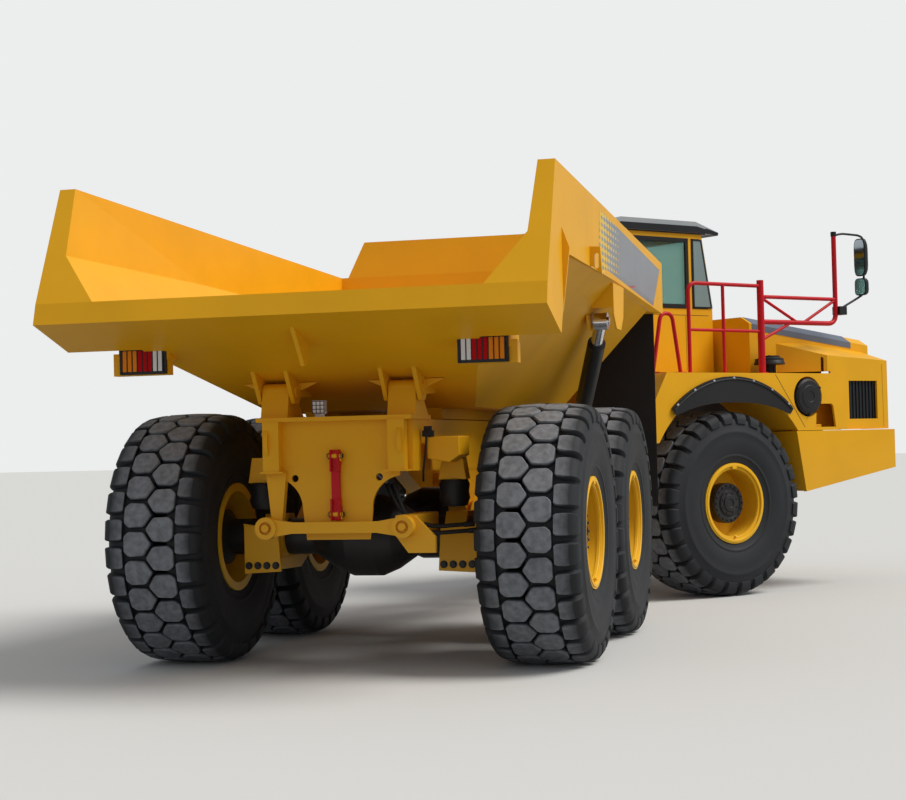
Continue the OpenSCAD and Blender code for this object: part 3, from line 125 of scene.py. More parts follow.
# %% [markdown]
# ## The studio
# A machine this size is judged in soft daylight. A pale floor catches the shadow, a wide sun
# gives form, and a plain white world fills the shadows. The white background is made by the
# colours of floor and world as the camera sees them, never by more light on the machine: Light
# Path tells the two apart, so the floor looks pale but throws up only the light of grey concrete.
# %% Floor, sun and world
PALE, CONCRETE = (0.63, 0.63, 0.615, 1), (0.34, 0.34, 0.33, 1)
FLOOR_CORNERS = [(-90, -60, 0), (90, -60, 0), (90, 140, 0), (-90, 140, 0)]
FILL = 0.50
floor_mesh = bpy.data.meshes.new("floor")
floor_mesh.from_pydata(FLOOR_CORNERS, [], [(0, 1, 2, 3)])
floor = bpy.data.objects.new("floor", floor_mesh)
bpy.context.scene.collection.objects.link(floor)
floor_paint = bpy.data.materials.new("studio_floor")
floor_paint.use_nodes = True
floor_mesh.materials.append(floor_paint)
floor_tree = floor_paint.node_tree
floor_shader = floor_tree.nodes["Principled BSDF"]
floor_shader.inputs["Roughness"].default_value = 0.9
floor_shader.inputs["Specular IOR Level"].default_value = 0.2
seen_ray = any_ray(floor_tree, "Is Camera Ray", "Is Glossy Ray", "Is Transmission Ray")
tones = {"A": CONCRETE, "B": PALE}
floor_tone = add_node(floor_tree, "Mix", {"Factor": seen_ray}, tones, colours=True)
floor_tree.links.new(floor_tone.outputs["Result"], floor_shader.inputs["Base Color"])

world = bpy.data.worlds.new("studio")
bpy.context.scene.world = world
world.use_nodes = True
sky = world.node_tree
sky.nodes.clear()
fill = add_node(sky, "Background", numbers={"Color": (0.93, 0.96, 1.0, 1), "Strength": FILL})
seen = add_node(sky, "Background", numbers={"Color": (0.84, 0.85, 0.85, 1), "Strength": 1.0})
either = any_ray(sky, "Is Camera Ray", "Is Transmission Ray")
mix = add_node(sky, "MixShader", {"Fac": either, 1: fill.outputs[0], 2: seen.outputs[0]})
add_node(sky, "OutputWorld", {"Surface": mix.outputs[0]})

sun_data = bpy.data.lights.new("wide_sun", "SUN")
sun_data.energy = 2.6
sun_data.angle = math.radians(30)
sun_data.color = (1.0, 0.97, 0.92)
sun = bpy.data.objects.new("wide_sun", sun_data)
sunlight = Vector((-0.62, -0.06, -0.78))
sun.rotation_euler = sunlight.to_track_quat("-Z", "Y").to_euler()
bpy.context.scene.collection.objects.link(sun)
bpy.context.scene.view_settings.view_transform = "Standard"
print("lights", round(sun_data.energy, 2), "sun,", FILL, "fill")

# %% [markdown]
# ## How a finish is made
# Every coat below has the same bones: one colour, a slow change of tone as on sprayed panels, a
# film of road dust that gathers low down, and a fine bump. They could be painted textures, but
# noise nodes read the place on the object and so stay sharp at any size. A helper keeps the
# recipe in one place, and each finish says only its own numbers.
# %% Helpers for finishes
DUST = (0.42, 0.36, 0.28, 1)


def lay_over(finish, amount, colour):
    """Lays a second colour over what a finish shows, by an amount from 0 to 1."""
    tree = finish.node_tree
    base = tree.nodes["Principled BSDF"].inputs["Base Color"]
    feeds = {"Factor": amount, "A": base.links[0].from_socket}
    mix = add_node(tree, "Mix", feeds, {"B": colour}, colours=True)
    tree.links.new(mix.outputs["Result"], base)


def coat(name, colour, rough, tone=0.05, dust=0.12, grain=60, bump=0.03, metal=0.0, shine=0.3):
    """A procedural finish: tone is the change of colour, dust how much of it lies at the ground."""
    dust_top = 1.6
    finish = bpy.data.materials.new(name)
    finish.use_nodes = True
    tree = finish.node_tree
    shader = tree.nodes["Principled BSDF"]
    shader.inputs["Metallic"].default_value = metal
    shader.inputs["Specular IOR Level"].default_value = shine
    spot = add_node(tree, "TexCoord").outputs["Object"]

    def noise(scale, detail, roughness=0.5):
        numbers = {"Scale": scale, "Detail": detail, "Roughness": roughness}
        return add_node(tree, "TexNoise", {"Vector": spot}, numbers).outputs["Fac"]

    shades = add_node(tree, "ValToRGB", {"Fac": noise(1.7, 5)})
    darker, lighter = shades.color_ramp.elements
    darker.position, lighter.position = 0.3, 0.7
    darker.color = [c * (1 - tone) for c in colour] + [1]
    lighter.color = [min(c * (1 + tone), 1) for c in colour] + [1]
    tree.links.new(shades.outputs["Color"], shader.inputs["Base Color"])
    height = add_node(tree, "SeparateXYZ", {0: spot}).outputs["Z"]
    low_down = add_node(tree, "MapRange", {"Value": height}, {
        "From Min": dust_top, "From Max": 0.0, "To Min": 0.0, "To Max": dust,
    })
    patchy = noise(6, 8, 0.7)
    amount = add_node(tree, "Math", {0: low_down.outputs[0], 1: patchy}, operation="MULTIPLY")
    lay_over(finish, amount.outputs[0], DUST)
    gloss = add_node(tree, "MapRange", {"Value": patchy}, {
        "To Min": rough * 0.85, "To Max": min(rough * 1.2, 1),
    })
    tree.links.new(gloss.outputs[0], shader.inputs["Roughness"])
    relief = add_node(tree, "Bump", {"Height": noise(grain, 3)}, {
        "Strength": bump * 5, "Distance": 0.004,
    })
    tree.links.new(relief.outputs["Normal"], shader.inputs["Normal"])
    return finish


# %% [markdown]
# ## The finishes
# The machine is sprayed in warm yellow enamel, its rims a purer yellow, its rails red. Axles are
# satin black, the roof a cool grey. The tread tops of the tyres get a painted sheen of cold grey.
# %% Paint, rubber and metal
COATS = (
    # (name, colour, roughness, what else is its own)
    ("machine_yellow", (0.84, 0.415, 0.007), 0.42, dict(tone=0.05, dust=0.30, shine=0.22)),
    ("rim_yellow", (0.88, 0.48, 0.006), 0.42, dict(tone=0.06, dust=0.2, shine=0.25)),
    ("tyre_rubber", (0.019, 0.021, 0.024), 0.66, dict(tone=0.2, dust=0.0, grain=90, bump=0.06)),
    ("black_paint", (0.010, 0.011, 0.013), 0.42, dict(tone=0.25, dust=0.1)),
    ("black_rubber", (0.009, 0.009, 0.010), 0.5, dict(tone=0.2, dust=0.06, bump=0.05)),
    ("chrome_rod", (0.72, 0.73, 0.75), 0.16, dict(tone=0.04, dust=0.0, metal=1.0, shine=0.5)),
    ("rail_red", (0.56, 0.006, 0.014), 0.38, dict(tone=0.08, dust=0.1, shine=0.22)),
    ("roof_grey", (0.36, 0.39, 0.41), 0.4, dict(tone=0.04, dust=0.05)),
    ("lamp_housing", (0.014, 0.014, 0.016), 0.4, dict(tone=0.2, dust=0.1)),
    ("cab_trim", (0.035, 0.035, 0.04), 0.7, dict(tone=0.15, dust=0.0, bump=0.08)),
    ("seat_fabric", (0.04, 0.042, 0.05), 0.9, dict(tone=0.3, dust=0.0, grain=260, bump=0.12)),
    ("cast_engine", (0.13, 0.14, 0.15), 0.6, dict(tone=0.2, dust=0.2, grain=40, bump=0.1)),
)
FINISHES = {name: coat(name, colour, rough, **own) for name, colour, rough, own in COATS}
print(len(FINISHES), "finishes")

# %% [markdown]
# ## Glass and lenses
# The cab panes are tinted a weak green, and the lamp lenses are clear over a bright bowl. Both
# are plain thin glass: a principled shader with transmission, and a faint film so that the pane
# is not perfectly clean.
# %% Glass


def pane(name, colour, rough, clear):
    """Glass or clear plastic with a slight film of dust; clear says how much light passes."""
    finish = coat(name, colour, rough, tone=0.03, dust=0.02, bump=0.004)
    shader = finish.node_tree.nodes["Principled BSDF"]
    shader.inputs["Transmission Weight"].default_value = clear
    shader.inputs["IOR"].default_value = 1.1
    return finish


FINISHES["cab_glass"] = pane("cab_glass", (0.42, 0.60, 0.55), 0.06, 0.85)
FINISHES["lamp_lens"] = pane("lamp_lens", (0.80, 0.82, 0.84), 0.1, 0.35)
print(len(FINISHES), "finishes with glass")

# %% [markdown]
# ## Hand the finishes to the CAD pieces
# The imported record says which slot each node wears, so a loop over it gives every solid its coat.
# %% Dress the nodes
for part in frame["record"]["subparts"]:
    node = frame["nodes"][part["node"]]
    for holder in node.material_slots:
        holder.material = FINISHES[part["material_slot"]]

# %% [markdown]
# ## Plates and blocks
# Bolts, plates and bars are many and small. Made one by one with operators they would be slow to
# build and to render, so a small class gathers the points and faces of one piece, to be turned
# into a single mesh later. It starts with the forms that are cut from plate: sheets, boxes, lofts
# between outlines, and prisms. All are given in the local metres of one half of the machine.
# %% Class for flat shapes


class FlatShapes:
    """The points and faces of one piece, drawn from plates and blocks."""

    def __init__(self, name, place):
        self.name = name
        self.place = place
        self.points = []
        self.faces = []

    def add(self, points, faces):
        start = len(self.points)
        self.points += [tuple(p) for p in points]
        self.faces += [[start + i for i in face] for face in faces]

    def sheet(self, points, width):
        """An open sheet through rows of points, with width points in each row."""
        self.add(points, [
            (i * width + j, (i + 1) * width + j, (i + 1) * width + j + 1, i * width + j + 1)
            for i in range(len(points) // width - 1) for j in range(width - 1)
        ])

    def box(self, low, high):
        (a, b, c), (d, e, f) = low, high
        self.add(
            [(a, b, c), (d, b, c), (d, e, c), (a, e, c),
             (a, b, f), (d, b, f), (d, e, f), (a, e, f)],
            [(3, 2, 1, 0), (4, 5, 6, 7), (0, 1, 5, 4), (1, 2, 6, 5), (2, 3, 7, 6), (3, 0, 4, 7)],
        )

    def loft(self, rings, closed=True):
        """Skins rings of equal length, and closes both ends."""
        size = len(rings[0])
        faces = []
        for i in range(len(rings) - 1):
            for j in range(size):
                k = (j + 1) % size
                faces.append((i * size + j, i * size + k, (i + 1) * size + k, (i + 1) * size + j))
        if closed:
            faces.append(tuple(range(size - 1, -1, -1)))
            faces.append(tuple((len(rings) - 1) * size + j for j in range(size)))
        self.add([p for ring in rings for p in ring], faces)

    def prism(self, outline, low, high, axis):
        """A flat outline given thickness along an axis: 0 for X, 1 for Y, 2 for Z."""
        def point(u, v, t):
            return {0: (t, u, v), 1: (u, t, v), 2: (u, v, t)}[axis]
        self.loft([[point(u, v, t) for u, v in outline] for t in (low, high)])


trial = FlatShapes("trial", Matrix.Identity(4))
trial.box((0, 0, 0), (1, 1, 1))
print("a box has", len(trial.points), "points and", len(trial.faces), "faces")

# %% [markdown]
# ## Bars, bent tubes and turned parts
# Rods, rails, hoses, hubs and bolts are round. Each is a row of circles skinned by the same loft,
# so one helper draws the circle. A bent tube could be a curve object with a round section, but
# circles carried along the line by hand never twist, and give one kind of mesh for every piece.
# %% Class for round shapes


def circle(middle, along, across, r, sides):
    """Points on a circle round a line, the first of them in the direction across."""
    third = along.cross(across)
    return [
        middle + (across * math.cos(a) + third * math.sin(a)) * r
        for a in [math.tau * i / sides for i in range(sides)]
    ]


class RoundShapes(FlatShapes):
    """Adds the forms that are drawn, bent or turned."""

    def rod(self, start, end, r, sides=20):
        """A round bar between two points."""
        start, end = Vector(start), Vector(end)
        along = (end - start).normalized()
        across = along.orthogonal().normalized()
        self.loft([circle(middle, along, across, r, sides) for middle in (start, end)])

    def tube(self, stops, r, bend=0.06, sides=16):
        """A bent tube through stops; each corner is an arc that starts bend metres before it."""
        stops = [Vector(p) for p in stops]
        line = [stops[0]]
        for before, here, after in zip(stops, stops[1:], stops[2:]):
            reach = min(bend, (before - here).length * 0.48, (after - here).length * 0.48)
            first = here + (before - here).normalized() * reach
            last = here + (after - here).normalized() * reach
            for i in range(7):
                t = i / 6
                line.append(first * (1 - t) ** 2 + here * 2 * t * (1 - t) + last * t * t)
        line.append(stops[-1])
        across = (line[1] - line[0]).orthogonal().normalized()
        rings = []
        for i, p in enumerate(line):
            along = (line[min(i + 1, len(line) - 1)] - line[max(i - 1, 0)]).normalized()
            across = (across - along * across.dot(along)).normalized()
            rings.append(circle(p, along, across, r, sides))
        self.loft(rings)

    def lathe(self, profile, centre, along, sides=48, open_ring=False):
        """Turns (radius, distance) points round a line; a closed profile gives an open ring."""
        centre, along = Vector(centre), Vector(along).normalized()
        across = along.orthogonal().normalized()
        self.loft([
            circle(centre + along * d, along, across, max(r, 0.0005), sides) for r, d in profile
        ], closed=not open_ring)

    def bolt(self, at, toward, r=0.018, h=0.014):
        """A hexagon head on a washer, standing on a face."""
        at, toward = Vector(at), Vector(toward).normalized()
        self.rod(at, at + toward * h * 0.25, r * 1.35, 16)
        self.rod(at + toward * h * 0.25, at + toward * h, r, 6)


trial = RoundShapes("trial", Matrix.Identity(4))
trial.bolt((0, 0, 0), (0, 0, 1))
print("a bolt on its washer has", len(trial.faces), "faces")

# %% [markdown]
# ## From the bench to the machine
# A drawn piece becomes a mesh in one step: its faces are turned outward, sharp edges are kept
# sharp, and a bevel rounds them by the few millimetres that real plate and castings have. Then it
# gets its finish and says which body it rides on, so that it moves with that body.
# %% Bench class


def shade(mesh, smooth):
    """Turns all faces outward and keeps edges sharp that bend by more than smooth degrees."""
    work = bmesh.new()
    work.from_mesh(mesh)
    bmesh.ops.recalc_face_normals(work, faces=work.faces)
    for face in work.faces:
        face.smooth = True
    for edge in work.edges:
        edge.smooth = len(edge.link_faces) == 2 and edge.calc_face_angle() < math.radians(smooth)
    work.to_mesh(mesh)
    work.free()


class Bench(RoundShapes):
    """One new piece: drawn with the shapes above, then made and handed to a body."""

    def make(self, slot, body, soft=0.0, smooth=35, steps=2, coat_name=None):
        """Builds the mesh, rounds its edges by soft metres and gives it a finish and a body."""
        mesh = bpy.data.meshes.new(self.name)
        mesh.from_pydata([self.place @ Vector(p) for p in self.points], [], self.faces)
        shade(mesh, smooth)
        mesh.materials.append(FINISHES[coat_name or slot])
        piece = bpy.data.objects.new(self.name, mesh)
        bpy.context.scene.collection.objects.link(piece)
        if soft:
            edge_round = piece.modifiers.new("soft_edges", "BEVEL")
            edge_round.width = soft
            edge_round.segments = steps
            edge_round.limit_method = "ANGLE"
            edge_round.harden_normals = False
        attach(piece, body)
        print(self.name, len(self.faces), "faces on", body)
        return piece


# %% [markdown]
# ## Tyres: the shape of the carcass
# A dumper's tyre is a fat tube of rubber with a flat crown and bulging sides. Its outline is
# turned round the axle like clay on a wheel. The radius is read from the CAD tyre's box, and the
# steps of the outline are measured inward from it, so that it stays just inside.
# %% Carcass outline
tyre_low, tyre_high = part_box("tyre_rear_right")
TYRE_R = (tyre_high.z - tyre_low.z) / 2
LUG_H = 0.042
CROWN = [(0.0, 0.0), (0.003, 0.13), (0.010, 0.23), (0.026, 0.30), (0.058, 0.342)]
SIDEWALL = [
    (0.150, 0.356), (0.205, 0.366), (0.215, 0.372), (0.232, 0.373), (0.242, 0.369), (0.300, 0.375),
    (0.360, 0.371), (0.410, 0.360), (0.445, 0.349), (0.452, 0.352), (0.466, 0.350), (0.474, 0.341),
    (0.500, 0.331),
]
BEAD = [(0.412, 0.322), (0.407, 0.300), (0.372, 0.270)]
# Each point of the carcass is (radius, distance from the middle line)
CARCASS = [(TYRE_R - LUG_H - drop, w) for drop, w in CROWN]
CARCASS += [(TYRE_R - drop, w) for drop, w in SIDEWALL] + BEAD
print("tyre radius", round(TYRE_R, 4), "width of the carcass", 2 * max(w for r, w in CARCASS))

# %% [markdown]
# ## Tyres: the blocks of the tread
# On either side of the middle line runs a row of hexagonal blocks, one row half a pitch ahead of
# the other. They could be one block bent round by modifiers, but the rows are so regular that
# each block is a small loft of its own: a wide foot in the carcass, a waist, and a slightly
# smaller top with a rounded rim, as rubber comes out of a mould.
# %% Tread blocks
BLOCK_OUTLINE = [
    # (across from the middle line, along the tread)
    (-0.018, 0.0), (0.038, 0.084), (0.150, 0.090), (0.188, 0.058),
    (0.188, -0.058), (0.150, -0.090), (0.038, -0.084),
]
# How far each ring of a block is spread, and how deep it lies under the tops
BLOCK_RINGS = ((1.10, LUG_H + 0.012), (1.04, 0.018), (1.0, 0.005), (0.965, 0.0))


def crown(w):
    """Radius of the tops of the blocks at a distance from the middle line."""
    return TYRE_R - 0.0008 - 0.011 * (abs(w) / 0.25) ** 2.2


def round_outline(corners, cut):
    """Replaces each corner by two points, so that the outline has small flats."""
    outline = []
    for i, corner in enumerate(corners):
        here = Vector(corner)
        for other in (corners[i - 1], corners[(i + 1) % len(corners)]):
            there = Vector(other)
            outline.append(here + (there - here).normalized() * cut)
    return outline


def tread_block(bench, corners, middle):
    """A block whose outline is (across, along in metres of arc) round a middle angle."""
    outline = round_outline(corners, 0.010)
    centre = sum(outline, Vector((0, 0))) / len(outline)
    rings = []
    for grow, sink in BLOCK_RINGS:
        ring = []
        for p in outline:
            q = centre + (p - centre) * grow
            r = crown(q.x) - sink
            a = middle + q.y / TYRE_R
            ring.append((q.x, r * math.cos(a), r * math.sin(a)))
        rings.append(ring)
    bench.loft(rings)


print("a block is", round(max(p[0] for p in BLOCK_OUTLINE) - BLOCK_OUTLINE[0][0], 3), "m across")

# %% [markdown]
# ## Tyres: the shoulder lugs
# Beside the hexagons a row of lugs wraps over the shoulder and down the side. A lug leans over
# as it goes: its section starts upright on the crown and ends nearly flat on the sidewall. A loft
# through eight such sections does it, each with a foot in the rubber, a waist and a top.
# %% Shoulder lugs
SHOULDER = [
    # (across, drop of the top below the full radius, depth of the foot under it, half width)
    (0.205, 0.010, 0.050, 0.066), (0.222, 0.0105, 0.045, 0.076), (0.262, 0.014, 0.045, 0.080),
    (0.300, 0.021, 0.045, 0.081), (0.335, 0.036, 0.050, 0.080), (0.357, 0.062, 0.050, 0.078),
    (0.366, 0.098, 0.035, 0.074), (0.367, 0.135, 0.012, 0.066),
]


def shoulder_lug(bench, side, middle):
    """A lug from beside the hexagons over the shoulder and down the side of the tyre."""
    rings = []
    for i, (w, drop, foot, half_w) in enumerate(SHOULDER):
        half = half_w / TYRE_R
        lean = i / (len(SHOULDER) - 1)
        top = Vector((w, TYRE_R - drop))
        inward = Vector((-0.95 * lean, -1 + 0.55 * lean)).normalized()
        base = top + inward * foot
        waist = top + inward * 0.008
        section = [(base, 1.14), (waist, 1.0), (top, 0.9)]
        ring = [(spot, -half * spread) for spot, spread in section]
        ring += [(spot, half * spread) for spot, spread in reversed(section)]
        rings.append([
            (side * spot.x, spot.y * math.cos(middle + a), spot.y * math.sin(middle + a))
            for spot, a in ring
        ])
    bench.loft(rings)


print("a lug wraps down by", round(SHOULDER[-1][1] - SHOULDER[0][1], 3), "m")

# %% [markdown]
# ## Tyres: the whole tyre
# The carcass outline is turned round the axle, and 28 pitches of blocks and lugs are set on it:
# in each pitch two blocks, half a pitch apart, and a lug on each shoulder. Drawn round the X axis
# with the outboard side to +X, the same tyre fits every wheel.
# %% Carcass and tread together
PITCHES = 28
PITCH_ANGLE = 2 * math.pi / PITCHES
TURNS = 112


def tyre_mesh():
    """The whole tyre round the X axis, its outboard side to +X."""
    bench = Bench("tyre_pattern", Matrix.Identity(4))
    whole = CARCASS + [(r, -w) for r, w in reversed(CARCASS[1:])]
    rings = [
        [(w, r * math.cos(a), r * math.sin(a)) for r, w in whole]
        for a in [2 * math.pi * i / TURNS for i in range(TURNS)]
    ]
    size = len(whole)
    points = [p for ring in rings for p in ring]
    faces = [
        (i * size + j, i * size + j + 1, (i + 1) % TURNS * size + j + 1, (i + 1) % TURNS * size + j)
        for i in range(TURNS) for j in range(size - 1)
    ]
    bench.add(points, faces)
    for i in range(PITCHES):
        for side, offset in ((1, 0.0), (-1, 0.5)):
            middle = (i + offset) * PITCH_ANGLE
            tread_block(bench, [(side * across, along) for across, along in BLOCK_OUTLINE], middle)
            shoulder_lug(bench, side, middle + 0.5 * PITCH_ANGLE)
    return bench


pattern = tyre_mesh()
print("one tyre has", len(pattern.faces), "faces")

# %% [markdown]
# ## Tyres: painted sheen on the tread tops
# The tops of the blocks are painted a cold grey, a painted sheen that stands in for the sky's light
# on their flat tops, while the grooves keep the near-black of the rubber. Painting each block would
# be tedious, so the finish measures how far a point lies from the axle: at the tops it fades to the
# painted sheen, and a noise breaks it up.
# %% Painted sheen by radius
# Painted sheen: the cold grey that the tops of the tread blocks are lightened to
SHEEN = (0.235, 0.250, 0.275, 1)
SHEEN_R, SHEEN_FADE = TYRE_R - 0.008, 0.018


def add_sheen(finish, top, fade, colour):
    """Lays a colour over a finish where a point's distance from the X axis nears top."""
    tree = finish.node_tree
    spot = add_node(tree, "TexCoord").outputs["Object"]
    parts = add_node(tree, "SeparateXYZ", {0: spot}).outputs
    flat = add_node(tree, "CombineXYZ", {"Y": parts["Y"], "Z": parts["Z"]})
    reach = add_node(tree, "VectorMath", {0: flat.outputs[0]}, operation="LENGTH")
    near_top = add_node(tree, "MapRange", {"Value": reach.outputs["Value"]}, {
        "From Min": top - fade, "From Max": top,
    })
    sheen_breakup = add_node(tree, "TexNoise", {"Vector": spot}, {"Scale": 22, "Detail": 6})
    patch = add_node(tree, "MapRange", {"Value": sheen_breakup.outputs["Fac"]}, {
        "From Min": 0.3, "From Max": 0.65, "To Min": 0.55,
    })
    feeds = {0: near_top.outputs[0], 1: patch.outputs[0]}
    lay_over(finish, add_node(tree, "Math", feeds, operation="MULTIPLY").outputs[0], colour)


# Paints the sheen on the tread tops of the tyre rubber
add_sheen(FINISHES["tyre_rubber"], SHEEN_R, SHEEN_FADE, SHEEN)
print("painted sheen from radius", round(SHEEN_R - SHEEN_FADE, 3))

# %% [markdown]
# ## Tyres: one mould, six tyres
# The mesh is made once and shared by the six wheels, as tyres come from one mould. The wheels of
# the tractor unit are turned with it. Each piece stands for its CAD tyre and rolls with its wheel.
# %% Six tyres
mould = bpy.data.meshes.new("tyre_mould")
mould.from_pydata(pattern.points, [], pattern.faces)
shade(mould, 38)
mould.materials.append(FINISHES["tyre_rubber"])
WHEELS = [axle + "_" + side for axle in ("front", "mid", "rear") for side in ("right", "left")]


def wheel_place(wheel):
    """The matrix of a wheel, from its CAD tyre's box: X points outboard."""
    low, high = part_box("tyre_" + wheel)
    turned = -PARKED_TURN if wheel.startswith("front") else 0.0
    if wheel.endswith("left"):
        turned += math.pi
    return Matrix.Translation((low + high) / 2) @ Matrix.Rotation(turned, 4, "Z")


for wheel in WHEELS:
    tyre = bpy.data.objects.new("tread_" + wheel, mould)
    bpy.context.scene.collection.objects.link(tyre)
    tyre.matrix_world = wheel_place(wheel)
    bpy.context.view_layer.update()
    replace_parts(tyre, "tyre_" + wheel)
    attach(tyre, "wheel_" + wheel)
print("tyre faces", len(mould.polygons), "six times")

# %% [markdown]
# ## Feeling for a surface
# The band, the hood's top, the hubs and the shut lines must lie exactly on the CAD skin, which
# tapers and folds. A ray from outside finds the spot, as a finger would, so that these pieces
# still fit if the CAD sizes change.
# %% Ray helper


def skin_of(*nodes):
    """A tree of all faces of some CAD nodes, for rays."""
    points, faces = [], []
    for node in nodes:
        mesh = frame["nodes"][node].data
        start = len(points)
        points += [v.co.copy() for v in mesh.vertices]
        faces += [[start + i for i in p.vertices] for p in mesh.polygons]
    return BVHTree.FromPolygons(points, faces)


def touch(skin, place, start, toward):
    """Where a ray from a local point meets the skin, as a local point, or None."""
    hit = skin.ray_cast(place @ Vector(start), (place.to_3x3() @ Vector(toward)).normalized())[0]
    return place.inverted() @ hit if hit else None


tub_skin = skin_of("dump_tub")
print("tub side at", touch(tub_skin, REAR_PLACE, (3, 1, 3.0), (-1, 0, 0)))

# %% [markdown]
# ## The foil of the band
# A grey foil with a lattice of yellow diamonds runs along both sides of the tub, and a thin red
# line crosses its front part. Two sine waves that run up and down a slant cross in diamonds, and
# the level at which they count as yellow rises to the front, so that the lattice dies away.
# %% Foil with a lattice
DIAMOND_YELLOW, LINE_RED = (0.86, 0.55, 0.03, 1), (0.50, 0.02, 0.03, 1)


def foil_finish():
    """Grey foil whose rear end breaks up into yellow diamonds, with a red line in front."""
    finish = coat("band_foil", (0.26, 0.27, 0.29), 0.38, tone=0.04, dust=0.05, bump=0.01)
    tree = finish.node_tree
    spot = add_node(tree, "TexCoord").outputs["Object"]
    parts = add_node(tree, "SeparateXYZ", {0: spot}).outputs
    along, height = parts["Y"], parts["Z"]

    def reckon(operation, first, second):
        """One step of arithmetic on a socket; the second value is a socket or a number."""
        if isinstance(second, float):
            return add_node(tree, "Math", {0: first}, {1: second}, operation).outputs[0]
        return add_node(tree, "Math", {0: first, 1: second}, operation=operation).outputs[0]

    flat, steep = reckon("MULTIPLY", along, 24.0), reckon("MULTIPLY", height, 58.0)
    rising = reckon("SINE", reckon("ADD", flat, steep), 0.0)
    falling = reckon("SINE", reckon("SUBTRACT", flat, steep), 0.0)
    fade = add_node(tree, "MapRange", {"Value": along}, {
        "From Min": BOGIE.y - 0.60, "From Max": BOGIE.y + 0.55, "To Min": -0.45, "To Max": 1.0,
    })
    lattice = reckon("MULTIPLY", rising, falling)
    lay_over(finish, reckon("GREATER_THAN", lattice, fade.outputs[0]), DIAMOND_YELLOW)
    slope = reckon("ADD", reckon("MULTIPLY", along, -0.09), height)
    above = reckon("SUBTRACT", slope, 2.842 - 0.09 * (BOGIE.y + 0.70))
    near = reckon("LESS_THAN", reckon("ABSOLUTE", above, 0.0), 0.006)
    ahead = reckon("GREATER_THAN", along, BOGIE.y + 0.46)
    behind = reckon("LESS_THAN", along, BOGIE.y + 1.40)
    lay_over(finish, reckon("MULTIPLY", reckon("MULTIPLY", near, ahead), behind), LINE_RED)
    return finish


FINISHES["band_foil"] = foil_finish()
print("the foil has", len(FINISHES["band_foil"].node_tree.nodes), "nodes")

# %% [markdown]
# ## The band on the tub's sides
# Foil is thinner than a coat of paint. A copy of the tub's side would do, but it would have to be
# cut to the band's outline. Instead a fine grid of points is dropped on the tub's skin and lifted
# by one millimetre, and its front end stops where the skin stops.
# %% Band laid on the skin
BAND_LIFT = 0.001
COLUMNS, ROWS = 36, 8
BAND_REAR = (Vector((-0.664, 2.858)), Vector((-0.517, 3.325)))


def front_edge(height):
    """How far forward the tub's side reaches at a height, in steps of a centimetre."""
    along = 2.2
    while along < 3.2 and touch(tub_skin, REAR_PLACE, (2.4, along + 0.03, height), (-1, 0, 0)):
        along += 0.01
    return along


BAND_FRONT = [Vector((front_edge(height), height)) for height in (2.775, 3.21)]
print("band ends at", [round(p.x, 2) for p in BAND_FRONT])
band = Bench("side_band", REAR_PLACE)
for side in (1, -1):
    grid = []
    for i in range(COLUMNS + 1):
        t = i / COLUMNS
        for j in range(ROWS + 1):
            u = j / ROWS
            rear = BAND_REAR[0] * (1 - u) + BAND_REAR[1] * u
            front = BAND_FRONT[0] * (1 - u) + BAND_FRONT[1] * u
            spot = rear * (1 - t) + front * t
            hit = touch(tub_skin, REAR_PLACE, (side * 2.4, spot.x, spot.y), (-side, 0, 0))
            grid.append(hit + Vector((side * BAND_LIFT, 0, 0)))
    band.sheet(grid, ROWS + 1)
    across = [p.x * side for p in grid]
    print("band reaches across", round(min(across), 3), round(max(across), 3))
band.make("machine_yellow", "dump_body", coat_name="band_foil")

# %% [markdown]
# ## Hubs and rim locks
# In the middle of each rim sits the black hub of the drive: a stepped casting with a ring of
# nuts and a drain cover. The outer flange is held by a split lock ring. Both are turned on a
# lathe, so a profile of radius and depth is enough, and the nuts are copied round a circle.
# %% Hub covers and lock rings
HUB_PROFILE = [
    # (radius, height over the rim's disc)
    (0.0, -0.02), (0.190, -0.02), (0.202, 0.0), (0.204, 0.105), (0.196, 0.118), (0.160, 0.122),
    (0.154, 0.112), (0.128, 0.112), (0.122, 0.126), (0.088, 0.130), (0.080, 0.144),
    (0.046, 0.148), (0.040, 0.138), (0.0, 0.138),
]
# Each ring of nuts: how many, their turn in steps, circle, height over the disc, size, thickness
NUT_RINGS = ((18, 0.0, 0.178, 0.120, 0.010, 0.014), (8, 0.5, 0.104, 0.128, 0.008, 0.010))
# Inner and outer radius of a lock ring, and its two faces measured from the flange
LOCK_RINGS = ((0.368, 0.392, -0.020, 0.006), (0.340, 0.356, -0.045, -0.018))
OUTBOARD = (1, 0, 0)


